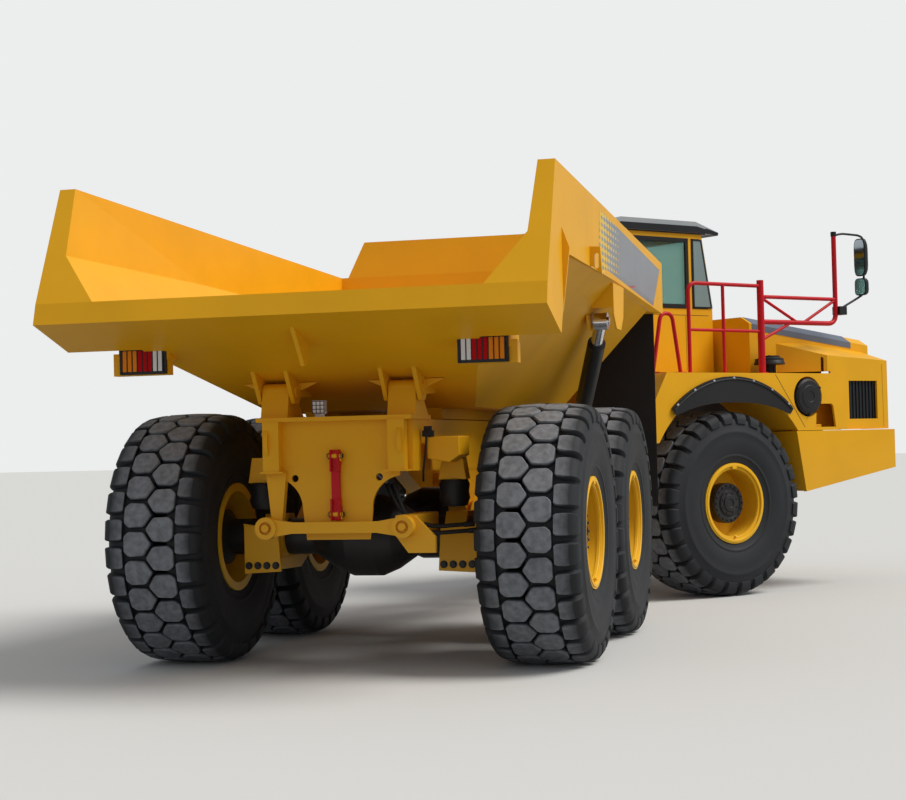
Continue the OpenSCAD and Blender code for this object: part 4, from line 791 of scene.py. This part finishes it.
def wheel_pieces(wheel):
    """The hub cover, its nuts and the rim's lock ring of one wheel, in the wheel's own place."""
    place = wheel_place(wheel)
    skin = skin_of("rim_" + wheel)
    face = touch(skin, place, (1, 0.05, 0.05), (-1, 0, 0)).x
    hub = Bench("hub_" + wheel, place)
    hub.lathe([(r, face + d) for r, d in HUB_PROFILE], (0, 0, 0), OUTBOARD, 48)
    for count, offset, circle_r, height, r, h in NUT_RINGS:
        for i in range(count):
            a = math.tau * (i + offset) / count
            spot = (face + height, circle_r * math.cos(a), circle_r * math.sin(a))
            hub.bolt(spot, OUTBOARD, r, h)
    hub.make("black_paint", "wheel_" + wheel, soft=0.003)
    flange = touch(skin, place, (1, 0.385, 0.05), (-1, 0, 0)).x
    ring = Bench("lock_ring_" + wheel, place)
    for r_in, r_out, low, high in LOCK_RINGS:
        profile = [
            (r_in, low), (r_out, low), (r_out + 0.004, (low + high) / 2), (r_out, high),
            (r_in + 0.004, high), (r_in, high - 0.006), (r_in, low),
        ]
        ring.lathe([(r, flange + d) for r, d in profile], (0, 0, 0), OUTBOARD, 64, open_ring=True)
    ring.box((flange - 0.012, -0.030, 0.345), (flange + 0.009, 0.030, 0.372))
    ring.rod((flange - 0.02, 0.0, -0.350), (flange + 0.004, 0.0, -0.330), 0.012, 12)
    ring.make("rim_yellow", "wheel_" + wheel, soft=0.002)
    return face


hub_faces = [wheel_pieces(wheel) for wheel in WHEELS]
print("hub faces stand", [round(v, 3) for v in hub_faces], "from the middle of the tyre")

# %% [markdown]
# ## Lamps at the tail
# Each tail lamp is a black panel with eight upright lens bars: white for reversing, red for
# braking, amber for turning, outermost. The CAD solid has the bars, and coloured plastic is laid
# over each, a hair wider, because lenses are moulded as caps over a reflector.
# %% Lens bars, frames and boxes
LENSES = (
    # (finish, colour, roughness, bars counted from the inside)
    ("lens_white", (0.78, 0.80, 0.82), 0.2, (0, 1)),
    ("lens_red", (0.50, 0.010, 0.014), 0.22, (2, 3, 4)),
    ("lens_amber", (0.85, 0.26, 0.015), 0.22, (5, 6, 7)),
)
BARS = 8
panel_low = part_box("tail_lamps")[0]
LAMP_IN, LAMP_W = 1.035, 0.345
LAMP_BACK = panel_low.y - BOGIE.y
LAMP_LOW, LAMP_TOP = panel_low.z, panel_low.z + 0.185
BAR_PITCH = (LAMP_W - 0.044) / BARS
for name, colour, rough, bars in LENSES:
    FINISHES[name] = pane(name, colour, rough, 0.0)
    lens = Bench(name + "_bars", REAR_PLACE)
    for side in (1, -1):
        for i in bars:
            across = LAMP_IN + 0.026 + i * BAR_PITCH
            middle = side * (across + (BAR_PITCH - 0.008) / 2)
            half = (BAR_PITCH - 0.007) / 2
            lens.box((middle - half, LAMP_BACK - 0.0005, LAMP_LOW + 0.020),
                     (middle + half, LAMP_BACK + 0.007, LAMP_TOP - 0.020))
    lens.make("lamp_lens", "dump_body", soft=0.002, coat_name=name)
frames = Bench("lamp_frames", REAR_PLACE)
boxes = Bench("lamp_boxes", REAR_PLACE)
for side in (1, -1):
    left, right = sorted((side * LAMP_IN, side * (LAMP_IN + LAMP_W)))
    # The upper edge of the panel, and a thin rib on either side of every bar
    frames.box((left, LAMP_BACK + 0.002, LAMP_LOW + 0.130), (right, LAMP_BACK + 0.020, LAMP_TOP))
    for i in range(BARS + 1):
        across = side * (LAMP_IN + 0.0225 + i * BAR_PITCH)
        frames.box((across - 0.003, LAMP_BACK - 0.003, LAMP_LOW + 0.016),
                   (across + 0.003, LAMP_BACK + 0.010, LAMP_TOP - 0.014))
    for across in (LAMP_IN + 0.012, LAMP_IN + LAMP_W - 0.012):
        for height in (LAMP_LOW + 0.012, LAMP_TOP - 0.012):
            frames.bolt((side * across, LAMP_BACK + 0.003, height), (0, -1, 0), 0.005, 0.006)
    boxes.box((left - 0.012, LAMP_BACK + 0.021, LAMP_LOW + 0.10),
              (right + 0.012, LAMP_BACK + 0.30, LAMP_TOP + 0.012))
frames.make("lamp_housing", "dump_body", soft=0.002)
boxes.make("machine_yellow", "dump_body", soft=0.004)
print("tail lamp panel from", [round(v, 3) for v in panel_low])

# %% [markdown]
# ## The work lamp
# A square lamp with nine cells lights the ground behind the machine. Each cell is a small clear
# dish under one pane. Nine bright squares under a grid of raised bars read the same from a few
# metres away, and take few faces.
# %% Cells and bezel of the work lamp
CELLS = 3
CELL_ACROSS, CELL_UP = 0.0290, 0.0280
lamp_low, lamp_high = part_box("work_lamp")
lamp_y = lamp_low.y
cells_low = lamp_high.z - 0.093
cells = Bench("work_lamp_cells", Matrix.Identity(4))
bezel = Bench("work_lamp_bezel", Matrix.Identity(4))
for i in range(CELLS):
    for j in range(CELLS):
        u = lamp_low.x + 0.006 + i * CELL_ACROSS
        v = cells_low + 0.006 + j * CELL_UP
        cells.box((u, lamp_y - 0.003, v), (u + 0.025, lamp_y + 0.002, v + 0.024))
for i in range(CELLS + 1):
    u = lamp_low.x + i * CELL_ACROSS + 0.001
    bezel.box((u, lamp_y - 0.004, cells_low + 0.002),
              (u + 0.004, lamp_y + 0.001, lamp_high.z - 0.002))
    v = cells_low + i * CELL_UP + 0.001
    bezel.box((lamp_low.x + 0.001, lamp_y - 0.0035, v),
              (lamp_high.x - 0.001, lamp_y + 0.001, v + 0.004))
cells.make("lamp_lens", "rear_unit", soft=0.003, coat_name="lens_white")
bezel.make("lamp_housing", "rear_unit")

# %% [markdown]
# ## Clamp plates and a lock bar for the rear frame
# The beams' ends are clamped under the axle by thick plates with a slanted inner edge, and a red
# lock bar with forked ends hangs on the tail plate by two pins. Flat plate is cut from an
# outline, so prisms do for both, and the pins and bolts are pieces of their own.
# %% Fasteners of the rear frame
TAIL_Y = -1.700
CLAMP_Y = -1.236
BAR_LOW, BAR_TOP = 1.105, 1.555
PIN_HEIGHTS = (1.125, 1.535)
CLAMP_OUTLINE = ((0.60, 0.690), (0.885, 0.675), (0.885, 1.045), (0.62, 1.000))
clamps = Bench("beam_end_plates", REAR_PLACE)
fasteners = Bench("rear_fasteners", REAR_PLACE)
for side in (1, -1):
    clamps.prism([(side * l, z) for l, z in CLAMP_OUTLINE], CLAMP_Y - 0.020, CLAMP_Y, 1)
    for across in (0.640, 0.710, 0.780, 0.850):
        fasteners.bolt((side * across, CLAMP_Y - 0.018, 0.735), (0, -1, 0), 0.021, 0.022)
clamps.make("machine_yellow", "rear_unit", soft=0.004)
for height in PIN_HEIGHTS:
    for side in (1, -1):
        fasteners.bolt((side * 0.044, TAIL_Y - 0.059, height), (side, 0, 0), 0.017, 0.014)

lock_bar = Bench("red_lock_bar", REAR_PLACE)
# The right half of the bar's outline, from the foot up; the left half mirrors it
right_half = [
    (0.028, BAR_LOW - 0.022), (0.040, BAR_LOW), (0.040, BAR_LOW + 0.070), (0.031, BAR_LOW + 0.110),
    (0.031, BAR_TOP - 0.110), (0.040, BAR_TOP - 0.070), (0.040, BAR_TOP), (0.028, BAR_TOP + 0.022),
]
bar_outline = right_half + [(-l, z) for l, z in reversed(right_half)]
lock_bar.prism(bar_outline, TAIL_Y - 0.066, TAIL_Y - 0.030, 1)
for x in (-0.034, 0.020):
    for low in (BAR_LOW - 0.024, BAR_TOP - 0.130):
        lock_bar.box((x, TAIL_Y - 0.092, low), (x + 0.014, TAIL_Y - 0.028, low + 0.154))
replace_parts(lock_bar.make("rail_red", "rear_unit", soft=0.006), "lock_link")
pins = Bench("lock_bar_pins", REAR_PLACE)
for height in PIN_HEIGHTS:
    pins.rod((-0.052, TAIL_Y - 0.062, height), (0.052, TAIL_Y - 0.062, height), 0.017, 18)
    pins.box((0.036, TAIL_Y - 0.072, height - 0.036), (0.046, TAIL_Y - 0.052, height + 0.010))
pins.make("rim_yellow", "rear_unit", soft=0.002)
fasteners.make("black_paint", "rear_unit")

# %% [markdown]
# ## Bump stops and the valve box
# Under a bracket with slanted sides hangs a squat rubber, which the beam would meet on rough
# ground. Above the right one sits a folded valve box with a plug and a short lead. All are welded
# from few plates, so prisms with soft edges do, and the rubber is turned.
# %% Bump stops and valve box
RUBBER_PROFILE = [
    (0.0, 0.0), (0.096, 0.0), (0.112, 0.035), (0.104, 0.085), (0.112, 0.135), (0.090, 0.190),
    (0.0, 0.200),
]
VALVE_BOX = [(0.600, 1.655), (0.835, 1.655), (0.835, 1.520), (0.760, 1.470), (0.600, 1.500)]
stops = Bench("stop_brackets", REAR_PLACE)
rubbers = Bench("bump_rubbers", REAR_PLACE)
for side in (1, -1):
    bracket = [(0.66, 1.530), (0.80, 1.530), (0.83, 1.345), (0.62, 1.345)]
    stops.prism([(side * l, z) for l, z in bracket], -1.29, -1.16, 1)
    rubbers.lathe(RUBBER_PROFILE, (side * 0.725, -1.225, 1.345), (0, 0, -1), 36)
stops.prism(VALVE_BOX, -1.50, -1.20, 1)
stops.make("machine_yellow", "rear_unit", soft=0.006)
rubbers.make("black_rubber", "rear_unit")
plug = Bench("valve_box_plug", REAR_PLACE)
plug.box((0.570, -1.515, 1.655), (0.650, -1.475, 1.700))
plug.box((0.585, -1.525, 1.700), (0.635, -1.480, 1.730))
plug.tube([(0.600, -1.512, 1.665), (0.600, -1.530, 1.560), (0.575, -1.520, 1.420),
           (0.555, -1.45, 1.340)], 0.008, 0.05, 10)
plug.make("black_rubber", "rear_unit", soft=0.003)

# %% [markdown]
# ## Hoses to the rear axle
# Two brake hoses come out of the frame beside the tail plate and arch down to the axle's end. A
# hydraulic hose is stiff, so it takes one smooth bend between its fittings: a swept tube with
# wide corners gives that, and a crimped sleeve at each end says that it is a hose and no pipe.
# %% Brake hoses
HOSE_R, SLEEVE_R = 0.0155, 0.020
hoses = Bench("brake_hoses", REAR_PLACE)
sleeves = Bench("hose_sleeves", REAR_PLACE)
for shift, reach in ((0.0, 0.90), (0.045, 0.93)):
    start, end = (0.300 + shift, -1.50, 1.330), (reach, -1.36, 1.030 - shift)
    hoses.tube([start, (0.400 + shift, -1.52, 1.120 - shift), (0.600, -1.50, 1.015 - shift), end],
               HOSE_R, 0.16, 14)
    sleeves.rod(start, (0.335 + shift, -1.507, 1.257), SLEEVE_R, 12)
    sleeves.rod(end, (reach - 0.07, -1.39, 1.026 - shift), SLEEVE_R, 12)
hoses.make("black_rubber", "rear_unit")
sleeves.make("black_paint", "rear_unit", soft=0.002)

# %% [markdown]
# ## Weld beads
# Thick plate is joined by a run of weld that stands up as a narrow ribbed bead. It could be a
# bump in the paint, but a real bead catches the light along the corner, so thin rods whose
# girth swells and shrinks are laid along the tail plate's top and the clamp plates.
# %% Weld beads


def weld(bench, start, end, r=0.007):
    """A bead from start to end whose ribs are two centimetres apart."""
    start, end = Vector(start), Vector(end)
    count = max(int((end - start).length / 0.02), 2)
    along = (end - start).normalized()
    across = along.orthogonal().normalized()
    bench.loft([
        circle(start + (end - start) * i / count, along, across, r * (1.0 if i % 2 else 0.82), 6)
        for i in range(count + 1)
    ])


welds = Bench("weld_beads", REAR_PLACE)
bead_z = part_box("rear_frame")[1].z - 0.055
for side in (1, -1):
    weld(welds, (side * 0.30, TAIL_Y - 0.006, bead_z), (side * 0.47, TAIL_Y - 0.006, bead_z))
    weld(welds, (side * 0.62, CLAMP_Y - 0.022, 1.000), (side * 0.885, CLAMP_Y - 0.022, 1.040),
         0.006)
welds.make("machine_yellow", "rear_unit")

# %% [markdown]
# ## Seals round the cab's windows
# A cab pane sits in a black rubber seal that is wider than the glass edge. It reads from far
# away as a dark outline. Each seal is a row of flat bars, one along every edge of the window,
# that reach in towards its middle.
# %% Window seals
CAB_SIDE = 0.85
SILL_Z = 2.975
CAB_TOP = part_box("cab_shell")[1].z
HEAD_Z = CAB_TOP - 0.06
SIDE_WINDOW = [(0.778, SILL_Z), (1.656, SILL_Z), (1.656, HEAD_Z), (0.778, HEAD_Z)]
QUARTER_WINDOW = [(1.700, SILL_Z), (1.924, SILL_Z), (1.824, HEAD_Z), (1.700, HEAD_Z)]


def seal(bench, outline, width, at, thick, side):
    """A strip as wide as width inside an outline of (along, up), standing on the cab's side."""
    middle = sum((Vector(p) for p in outline), Vector((0, 0))) / len(outline)
    count = len(outline)
    for i in range(count):
        a, b = Vector(outline[i]), Vector(outline[(i + 1) % count])
        edge = (b - a).normalized()
        inward = Vector((-edge.y, edge.x))
        if inward.dot(middle - a) < 0:
            inward = -inward
        c, d = b + inward * width - edge * width * 0.3, a + inward * width + edge * width * 0.3
        bench.prism([tuple(a), tuple(b), tuple(c), tuple(d)], side * at, side * (at + thick), 0)


seals = Bench("window_seals", TRACTOR_PLACE)
seal(seals, SIDE_WINDOW, 0.046, CAB_SIDE - 0.006, 0.014, 1)
seal(seals, QUARTER_WINDOW, 0.026, CAB_SIDE - 0.006, 0.012, 1)
seals.make("black_rubber", "tractor", soft=0.003)
print("window seals up to", round(HEAD_Z, 3))

# %% [markdown]
# ## The roof's visor and painted shade
# The roof is a grey shell over a black lining whose front shows as a visor. Along each of its sides
# runs a black band of painted shade, where the side lies in shadow under the roof's top edge. A
# thin box makes the lining and prisms make the visor and the bands, so the grey shell keeps its own
# form on top.
# %% Visor, lining and painted shade bands of the roof
ROOF_HALF_W = 0.884
ROOF_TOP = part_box("cab_roof")[1].z
lining = Bench("roof_visor", TRACTOR_PLACE)
lining.box((-0.872, 0.66, CAB_TOP - 0.012), (0.872, 1.90, CAB_TOP + 0.004))
lining.prism([
    (1.86, CAB_TOP + 0.010), (2.076, ROOF_TOP - 0.134), (2.082, ROOF_TOP - 0.100),
    (1.90, ROOF_TOP - 0.060), (1.84, CAB_TOP + 0.030),
], -ROOF_HALF_W, ROOF_HALF_W, 0)
lining.make("black_paint", "tractor", soft=0.006)
# Black bands of painted shade on the roof's sides, where the shadow under the top edge falls
side_shade = Bench("roof_side_shade", TRACTOR_PLACE)
for side in (1, -1):
    side_shade.prism([
        (0.645, CAB_TOP + 0.002), (0.628, ROOF_TOP - 0.070), (0.700, ROOF_TOP - 0.050),
        (1.765, ROOF_TOP - 0.048), (2.080, ROOF_TOP - 0.110), (2.068, ROOF_TOP - 0.126),
        (1.850, CAB_TOP + 0.002),
    ], side * 0.8802, side * 0.886, 0)
side_shade.make("black_paint", "tractor", soft=0.002)

# %% [markdown]
# ## Wrapped corner glass
# In front of the thin pillar the glass wraps round to the windscreen without any steel. A pane
# laid over the corner, with the dark printed border that such glass has, gives that look. It is a
# thin prism on the side and one slanted face in front, because the corner itself is sharp.
# %% Corner glass
CORNER = [
    (1.712, SILL_Z + 0.008), (1.980, SILL_Z + 0.008),
    (1.846, HEAD_Z - 0.006), (1.712, HEAD_Z - 0.006),
]
FINISHES["corner_glass"] = pane("corner_glass", (0.30, 0.40, 0.40), 0.05, 0.25)
corner = Bench("corner_glass", TRACTOR_PLACE)
border = Bench("corner_border", TRACTOR_PLACE)
for side in (1, -1):
    corner.prism(CORNER, side * 0.8505, side * 0.8565, 0)
    corner.add([
        (side * 0.855, 1.9925, SILL_Z + 0.01), (side * 0.795, 1.9945, SILL_Z + 0.01),
        (side * 0.795, 1.9945 - 0.135, HEAD_Z), (side * 0.855, 1.9925 - 0.135, HEAD_Z),
    ], [(0, 1, 2, 3)])
    seal(border, CORNER, 0.016, 0.8570, 0.0025, side)
corner.make("cab_glass", "tractor", coat_name="corner_glass")
border.make("black_rubber", "tractor")

# %% [markdown]
# ## The rubber flap over the front wheel
# Inside the clamped lip hangs a crescent of rubber sheet, deep in the middle and thin at its
# ends, which keeps stones off the deck. It is only a sheet, so two faces between the same two
# arcs, one behind the other, are all that it needs.
# %% Flap
AXLE_S, AXLE_Z, ARCH_R = 1.407, 0.9375, 1.185
FLAP_FACES = (1.7290, 1.7305)
FLAP_R = ARCH_R + 0.088
flap = Bench("arch_flaps", TRACTOR_PLACE)


def on_arch(r, a):
    """The place (along, up) at a radius and an angle round the front axle."""
    return AXLE_S + r * math.cos(a), AXLE_Z + r * math.sin(a)


for side in (1, -1):
    outer, inner = [], []
    for i in range(37):
        a = math.radians(48 + 84 * i / 36)
        depth = 0.075 + 0.180 * math.sin(math.pi * i / 36) ** 0.9
        outer.append(on_arch(FLAP_R, a))
        inner.append(on_arch(FLAP_R - depth, a))
    count = len(outer)
    for across in FLAP_FACES:
        flap.add([(side * across, s, z) for s, z in outer + inner],
                 [(i, i + 1, count + i + 1, count + i) for i in range(count - 1)])
flap.make("black_rubber", "tractor")

# %% [markdown]
# ## The wings' front ends
# In front of the deck a plate closes each wing up to the hood, with a narrow shut line left, and
# an inner wall hides the engine bay. Beside the wall a low step carries a short round stub. All
# of it is flat plate again, so boxes and one prism make it.
# %% Wing ends
WALL_IN, WALL_OUT, STEP_OUT = 1.38, 1.40, 1.62
PLATE_FOOT = 1.6575
ends = Bench("wing_ends", TRACTOR_PLACE)
for side in (1, -1):
    ends.prism([(2.834, 2.2545), (2.906, 2.2545), (3.124, 1.660), (2.960, 1.660)],
               side * 1.688, side * 1.6995, 0)
    for a, b, rear, front, top in ((WALL_IN, WALL_OUT, 2.585, 3.340, 2.262),
                                   (WALL_OUT, STEP_OUT, 2.700, 2.790, 1.720)):
        left, right = sorted((side * a, side * b))
        ends.box((left, rear, PLATE_FOOT), (right, front, top))
    ends.rod((side * 1.50, 2.745, 1.715), (side * 1.50, 2.745, 1.760), 0.030, 16)
ends.make("machine_yellow", "tractor", soft=0.003)

# %% [markdown]
# ## Mirrors
# A tall mirror and a wide-angle one hang on a bent black arm in front of the red mast. A housing
# is a rounded shell, deeper in the middle, and the glass is a bright plate set into its mouth,
# which faces back to the driver. Both are lofts, so the shell can swell a little.
# %% Mirrors and their arms
MIRROR_L, ARM_L = 1.648, 1.63
# Where along the machine the shell's rings lie, and how wide each is
SHELL_RINGS = ((3.432, 0.97), (3.436, 1.0), (3.466, 1.0), (3.492, 0.86), (3.500, 0.60))
ARM_STOPS = [
    (3.076, 3.740), (3.18, 3.762), (3.44, 3.757), (3.515, 3.735), (3.515, 3.13), (3.43, 3.085),
    (3.076, 2.93),
]
FINISHES["mirror_glass"] = coat("mirror_glass", (0.62, 0.66, 0.70), 0.06, tone=0.02, dust=0.0,
                                bump=0.002, metal=1.0)
shells = Bench("mirror_shells", TRACTOR_PLACE)
glasses = Bench("mirror_glasses", TRACTOR_PLACE)


def oval(middle_l, middle_z, half_l, half_z, s):
    """Sixteen points of a rounded rectangle across the machine at a place along it."""
    points = []
    for i in range(16):
        a = math.tau * (i + 0.5) / 16
        c, d = math.cos(a), math.sin(a)
        points.append((middle_l + half_l * math.copysign(abs(c) ** 0.45, c), s,
                       middle_z + half_z * math.copysign(abs(d) ** 0.45, d)))
    return points


for side in (1, -1):
    for low, high in ((3.311, 3.721), (3.103, 3.291)):
        middle_z, half_z = (low + high) / 2, (high - low) / 2
        shells.loft([
            oval(side * MIRROR_L, middle_z, 0.080 * g, half_z * g, s) for s, g in SHELL_RINGS
        ])
        glasses.loft([
            oval(side * MIRROR_L, middle_z, 0.068, half_z - 0.012, s) for s in (3.428, 3.434)
        ])
    x = side * ARM_L
    shells.tube([(x, s, z) for s, z in ARM_STOPS], 0.012, 0.06, 12)
    shells.box((x - 0.055, 3.060, 2.885), (x + 0.055, 3.170, 2.975))
    shells.rod((x, 3.05, 3.725), (x, 3.05, 3.775), 0.030, 16)
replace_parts(shells.make("black_paint", "tractor", soft=0.004), "mirrors")
glasses.make("black_paint", "tractor", coat_name="mirror_glass")

# %% [markdown]
# ## The blue-grey top of the hood
# The hood's top is a non-slip panel in blue-grey, let into the yellow. It follows the slope, so
# its points are dropped on the CAD skin from above and lifted by a few millimetres. Slanted
# shoulders and sides that are turned down keep it from looking like a sticker.
# %% Hood top panel
TOP_START, TOP_END, TOP_HALF_W, TOP_ROWS = 2.120, 3.640, 1.300, 20
# Half of a row, from the turned-down side to the flat: (inward from the half width, over the skin)
TOP_SECTION = ((-0.004, -0.135), (-0.004, -0.072), (0.119, 0.005), (0.150, 0.005))
FINISHES["hood_top"] = coat("hood_top", (0.13, 0.155, 0.205), 0.55, tone=0.08, dust=0.0,
                            grain=160, bump=0.10)
hood_skin = skin_of("hood")
top_panel = Bench("hood_top_panel", TRACTOR_PLACE)
grid, heights = [], []
for i in range(TOP_ROWS):
    along = TOP_START + (TOP_END - TOP_START) * i / (TOP_ROWS - 1)
    top = touch(hood_skin, TRACTOR_PLACE, (0.3, along, 4.0), (0, 0, -1)).z
    half = [(TOP_HALF_W - inward, top + lift) for inward, lift in TOP_SECTION]
    grid += [(l, along, z) for l, z in half] + [(-l, along, z) for l, z in reversed(half)]
    heights.append(top)
top_panel.sheet(grid, 2 * len(TOP_SECTION))
top_panel.make("roof_grey", "hood", coat_name="hood_top")
print("hood top slopes from", round(heights[0], 3), "to", round(heights[-1], 3))

# %% [markdown]
# ## Shut lines of hood, wings and cab
# Hood, wings and cab are shells of pressed panels. Where two meet there is a dark shut line. A
# line could be cut into the mesh, but a thin dark strip laid on the skin, found by rays, follows
# the slope of each face just as well and never floats.
# %% Shut lines
# Each line: (across where its rays start, along, up) at both ends, on the right side
HOOD_LINES = (((1.4, 2.205, 2.30), (1.4, 2.205, 2.72)), ((1.8, 3.745, 1.68), (1.8, 3.735, 2.36)))
WING_LINES = (((1.9, 2.035, 2.240), (1.9, 2.455, 1.690)),)
CAB_LINES = (
    ((1.0, 0.86, 2.40), (1.0, 0.86, 2.90)), ((1.0, 1.60, 2.32), (1.0, 1.60, 2.90)),
    ((1.0, 0.74, 2.905), (1.0, 1.93, 2.905)),
)


def shut_line(bench, skin, place, stops, toward, w=0.004, lift=0.0008, steps=10):
    """A strip through local stops, each point pressed on the skin along a direction."""
    toward = Vector(toward).normalized()
    line = []
    for a, b in zip(stops, stops[1:]):
        for i in range(steps):
            line.append(Vector(a).lerp(Vector(b), i / steps))
    line.append(Vector(stops[-1]))
    spots = [touch(skin, place, p - toward * 1.0, toward) for p in line]
    spots = [p for p in spots if p]
    points = []
    for i, p in enumerate(spots):
        along = (spots[min(i + 1, len(spots) - 1)] - spots[max(i - 1, 0)]).normalized()
        across = along.cross(toward).normalized() * w / 2
        points += [p + across - toward * lift, p - across - toward * lift]
    bench.add(points, [(2 * i, 2 * i + 1, 2 * i + 3, 2 * i + 2) for i in range(len(spots) - 1)])


def shut_lines(name, node, lines, sides, body, w):
    """All the shut lines of one CAD node as one piece; the left side mirrors the right."""
    bench = Bench(name, TRACTOR_PLACE)
    skin = skin_of(node)
    for side in sides:
        for stops in lines:
            mirrored = [(side * l, s, z) for l, s, z in stops]
            shut_line(bench, skin, TRACTOR_PLACE, mirrored, (-side, 0, 0), w)
    bench.make("black_paint", body)


shut_lines("hood_shut_lines", "hood", HOOD_LINES, (1, -1), "hood", 0.004)
shut_lines("wing_shut_lines", "wings", WING_LINES, (1, -1), "tractor", 0.006)
shut_lines("cab_shut_lines", "cab_shell", CAB_LINES, (1,), "tractor", 0.005)

# %% [markdown]
# ## Arch lips
# The rubber lip over the front wheel is clamped by a bead along its upper edge, with a row of
# bright flat bolts. The bead is a swept tube on an arc round the axle, and the bolts stand on
# the lip's outer face, a centimetre beyond the bead.
# %% Bead and bolts of the arch lips
LIP_FACE = 1.7303
BEAD_ARC_R, BOLT_ARC_R = ARCH_R + 0.068, ARCH_R + 0.078
bead = Bench("arch_beads", TRACTOR_PLACE)
studs = Bench("arch_bolts", TRACTOR_PLACE)
for side in (1, -1):
    arc = [
        (side * (LIP_FACE + 0.003), *on_arch(BEAD_ARC_R, math.radians(49 + 82 * i / 40)))
        for i in range(41)
    ]
    bead.tube(arc, 0.009, 0.004, 8)
    for i in range(7):
        spot = (side * LIP_FACE, *on_arch(BOLT_ARC_R, math.radians(52 + 76 * i / 6)))
        studs.bolt(spot, (side, 0, 0), 0.011, 0.010)
bead.make("black_rubber", "tractor")
studs.make("roof_grey", "tractor", coat_name="chrome_rod")

# %% [markdown]
# ## The air cleaner and its rain cap
# The black drum in the wing is the air cleaner: a pressed cover with ribs, held by clips, and a
# soft spout below that drops the dust. On the deck stands its rain cap, a mushroom of pressed
# steel over a ring of bars. The round ones are turned forms, the bars are boxes on a circle.
# %% Air cleaner and rain cap
DRUM_S, DRUM_Z, DRUM_END = 2.510, 2.010, 1.713
COVER_PROFILE = [
    (0.0, -0.004), (0.160, -0.004), (0.186, -0.030), (0.192, -0.024), (0.188, 0.000),
    (0.170, 0.010), (0.166, 0.016), (0.120, 0.020), (0.114, 0.026), (0.060, 0.028),
    (0.054, 0.022), (0.0, 0.022),
]
CLIP_ANGLES = (30, 150, 270)
cover = Bench("air_cleaner_cover", TRACTOR_PLACE)
cover.lathe(COVER_PROFILE, (DRUM_END, DRUM_S, DRUM_Z), (1, 0, 0), 56)
for clip in CLIP_ANGLES:
    a = math.radians(clip)
    s, z = DRUM_S + 0.186 * math.cos(a), DRUM_Z + 0.186 * math.sin(a)
    cover.rod((DRUM_END - 0.045, s, z), (DRUM_END + 0.014, s, z), 0.012, 10)
spout = ((-0.055, -0.180), (-0.050, -0.235), (-0.045, -0.290))
cover.tube([(DRUM_END + l, DRUM_S + 0.02, DRUM_Z + z) for l, z in spout], 0.028, 0.03, 14)
cover.make("black_rubber", "tractor", soft=0.002)

CAP_L, CAP_S = 1.480, 2.180
CAP_PROFILE = [
    (0.0, 0.09), (0.070, 0.09), (0.070, 0.120), (0.156, 0.096), (0.162, 0.104), (0.150, 0.140),
    (0.118, 0.172), (0.066, 0.188), (0.020, 0.194), (0.0, 0.200),
]
CAP_BARS = 16
deck_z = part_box("wings")[1].z
cap = Bench("rain_cap", TRACTOR_PLACE)
cap.lathe(CAP_PROFILE, (CAP_L, CAP_S, deck_z), (0, 0, 1), 40)
for i in range(CAP_BARS):
    a = math.tau * i / CAP_BARS
    l, s = CAP_L + 0.062 * math.cos(a), CAP_S + 0.062 * math.sin(a)
    cap.box((l - 0.004, s - 0.004, deck_z + 0.005), (l + 0.004, s + 0.004, deck_z + 0.100))
cap.make("black_rubber", "tractor", soft=0.002)
print("rain cap on the deck at", round(deck_z, 3))

# %% [markdown]
# ## Red hand rails
# The rails round the deck are one workshop job: steel tube bent over a former and welded to
# posts. The CAD rails are plain bars. A tube swept along a line whose corners are turned into
# arcs gives the real bends, with the same posts in the same places.
# %% Rails, posts and mirror masts
RAIL_L, MAST_L = 1.6, ARM_L
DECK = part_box("hand_rails")[0].z
REAR_POST, FRONT_POST, MAST_S = 0.93, 1.95, 3.05
TOP_RAIL, LOW_RAIL = 3.16, 2.69
MAST_LOW, MAST_HIGH = 2.79, 3.05
FEET = (0.43, 0.80, FRONT_POST)
rails = Bench("rails", TRACTOR_PLACE)
rails.tube([(RAIL_L, REAR_POST, DECK), (RAIL_L, REAR_POST, TOP_RAIL),
            (RAIL_L, FRONT_POST, TOP_RAIL)], 0.020, 0.10)
rails.rod((RAIL_L, 1.41, DECK), (RAIL_L, 1.41, TOP_RAIL), 0.018, 16)
rails.rod((RAIL_L, REAR_POST, LOW_RAIL), (RAIL_L, FRONT_POST, LOW_RAIL), 0.016, 16)
for side in (1, -1):
    x = side * RAIL_L
    mast = side * MAST_L
    # The hoop behind the cab, the thick front post, and two arms to the mirrors' mast
    rails.tube([(x, 0.43, DECK), (x, 0.55, 2.845), (x, 0.70, 2.845), (x, 0.80, DECK)], 0.020, 0.09)
    rails.rod((x, FRONT_POST, DECK), (x, FRONT_POST, 3.22), 0.036, 24)
    rails.rod((x, FRONT_POST, MAST_HIGH), (mast, MAST_S, MAST_HIGH), 0.020, 16)
    rails.tube([(x, FRONT_POST, MAST_LOW), (mast, MAST_S, MAST_LOW), (mast, MAST_S, 3.77)],
               0.026, 0.12)
    # The slanted braces between the arms, and one down to the post
    rails.rod((x, FRONT_POST, 3.045), (side * 1.614, 2.48, MAST_LOW), 0.016, 14)
    rails.rod((side * 1.616, 2.56, MAST_LOW), (mast, MAST_S, 3.045), 0.016, 14)
    rails.rod((x, FRONT_POST, 2.60), (side * 1.612, 2.38, 2.787), 0.016, 14)
    for s in FEET:
        rails.box((x - 0.045, s - 0.045, DECK - 0.001), (x + 0.045, s + 0.045, DECK + 0.010))
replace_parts(rails.make("rail_red", "tractor", soft=0.002, smooth=50, steps=1), "hand_rails")
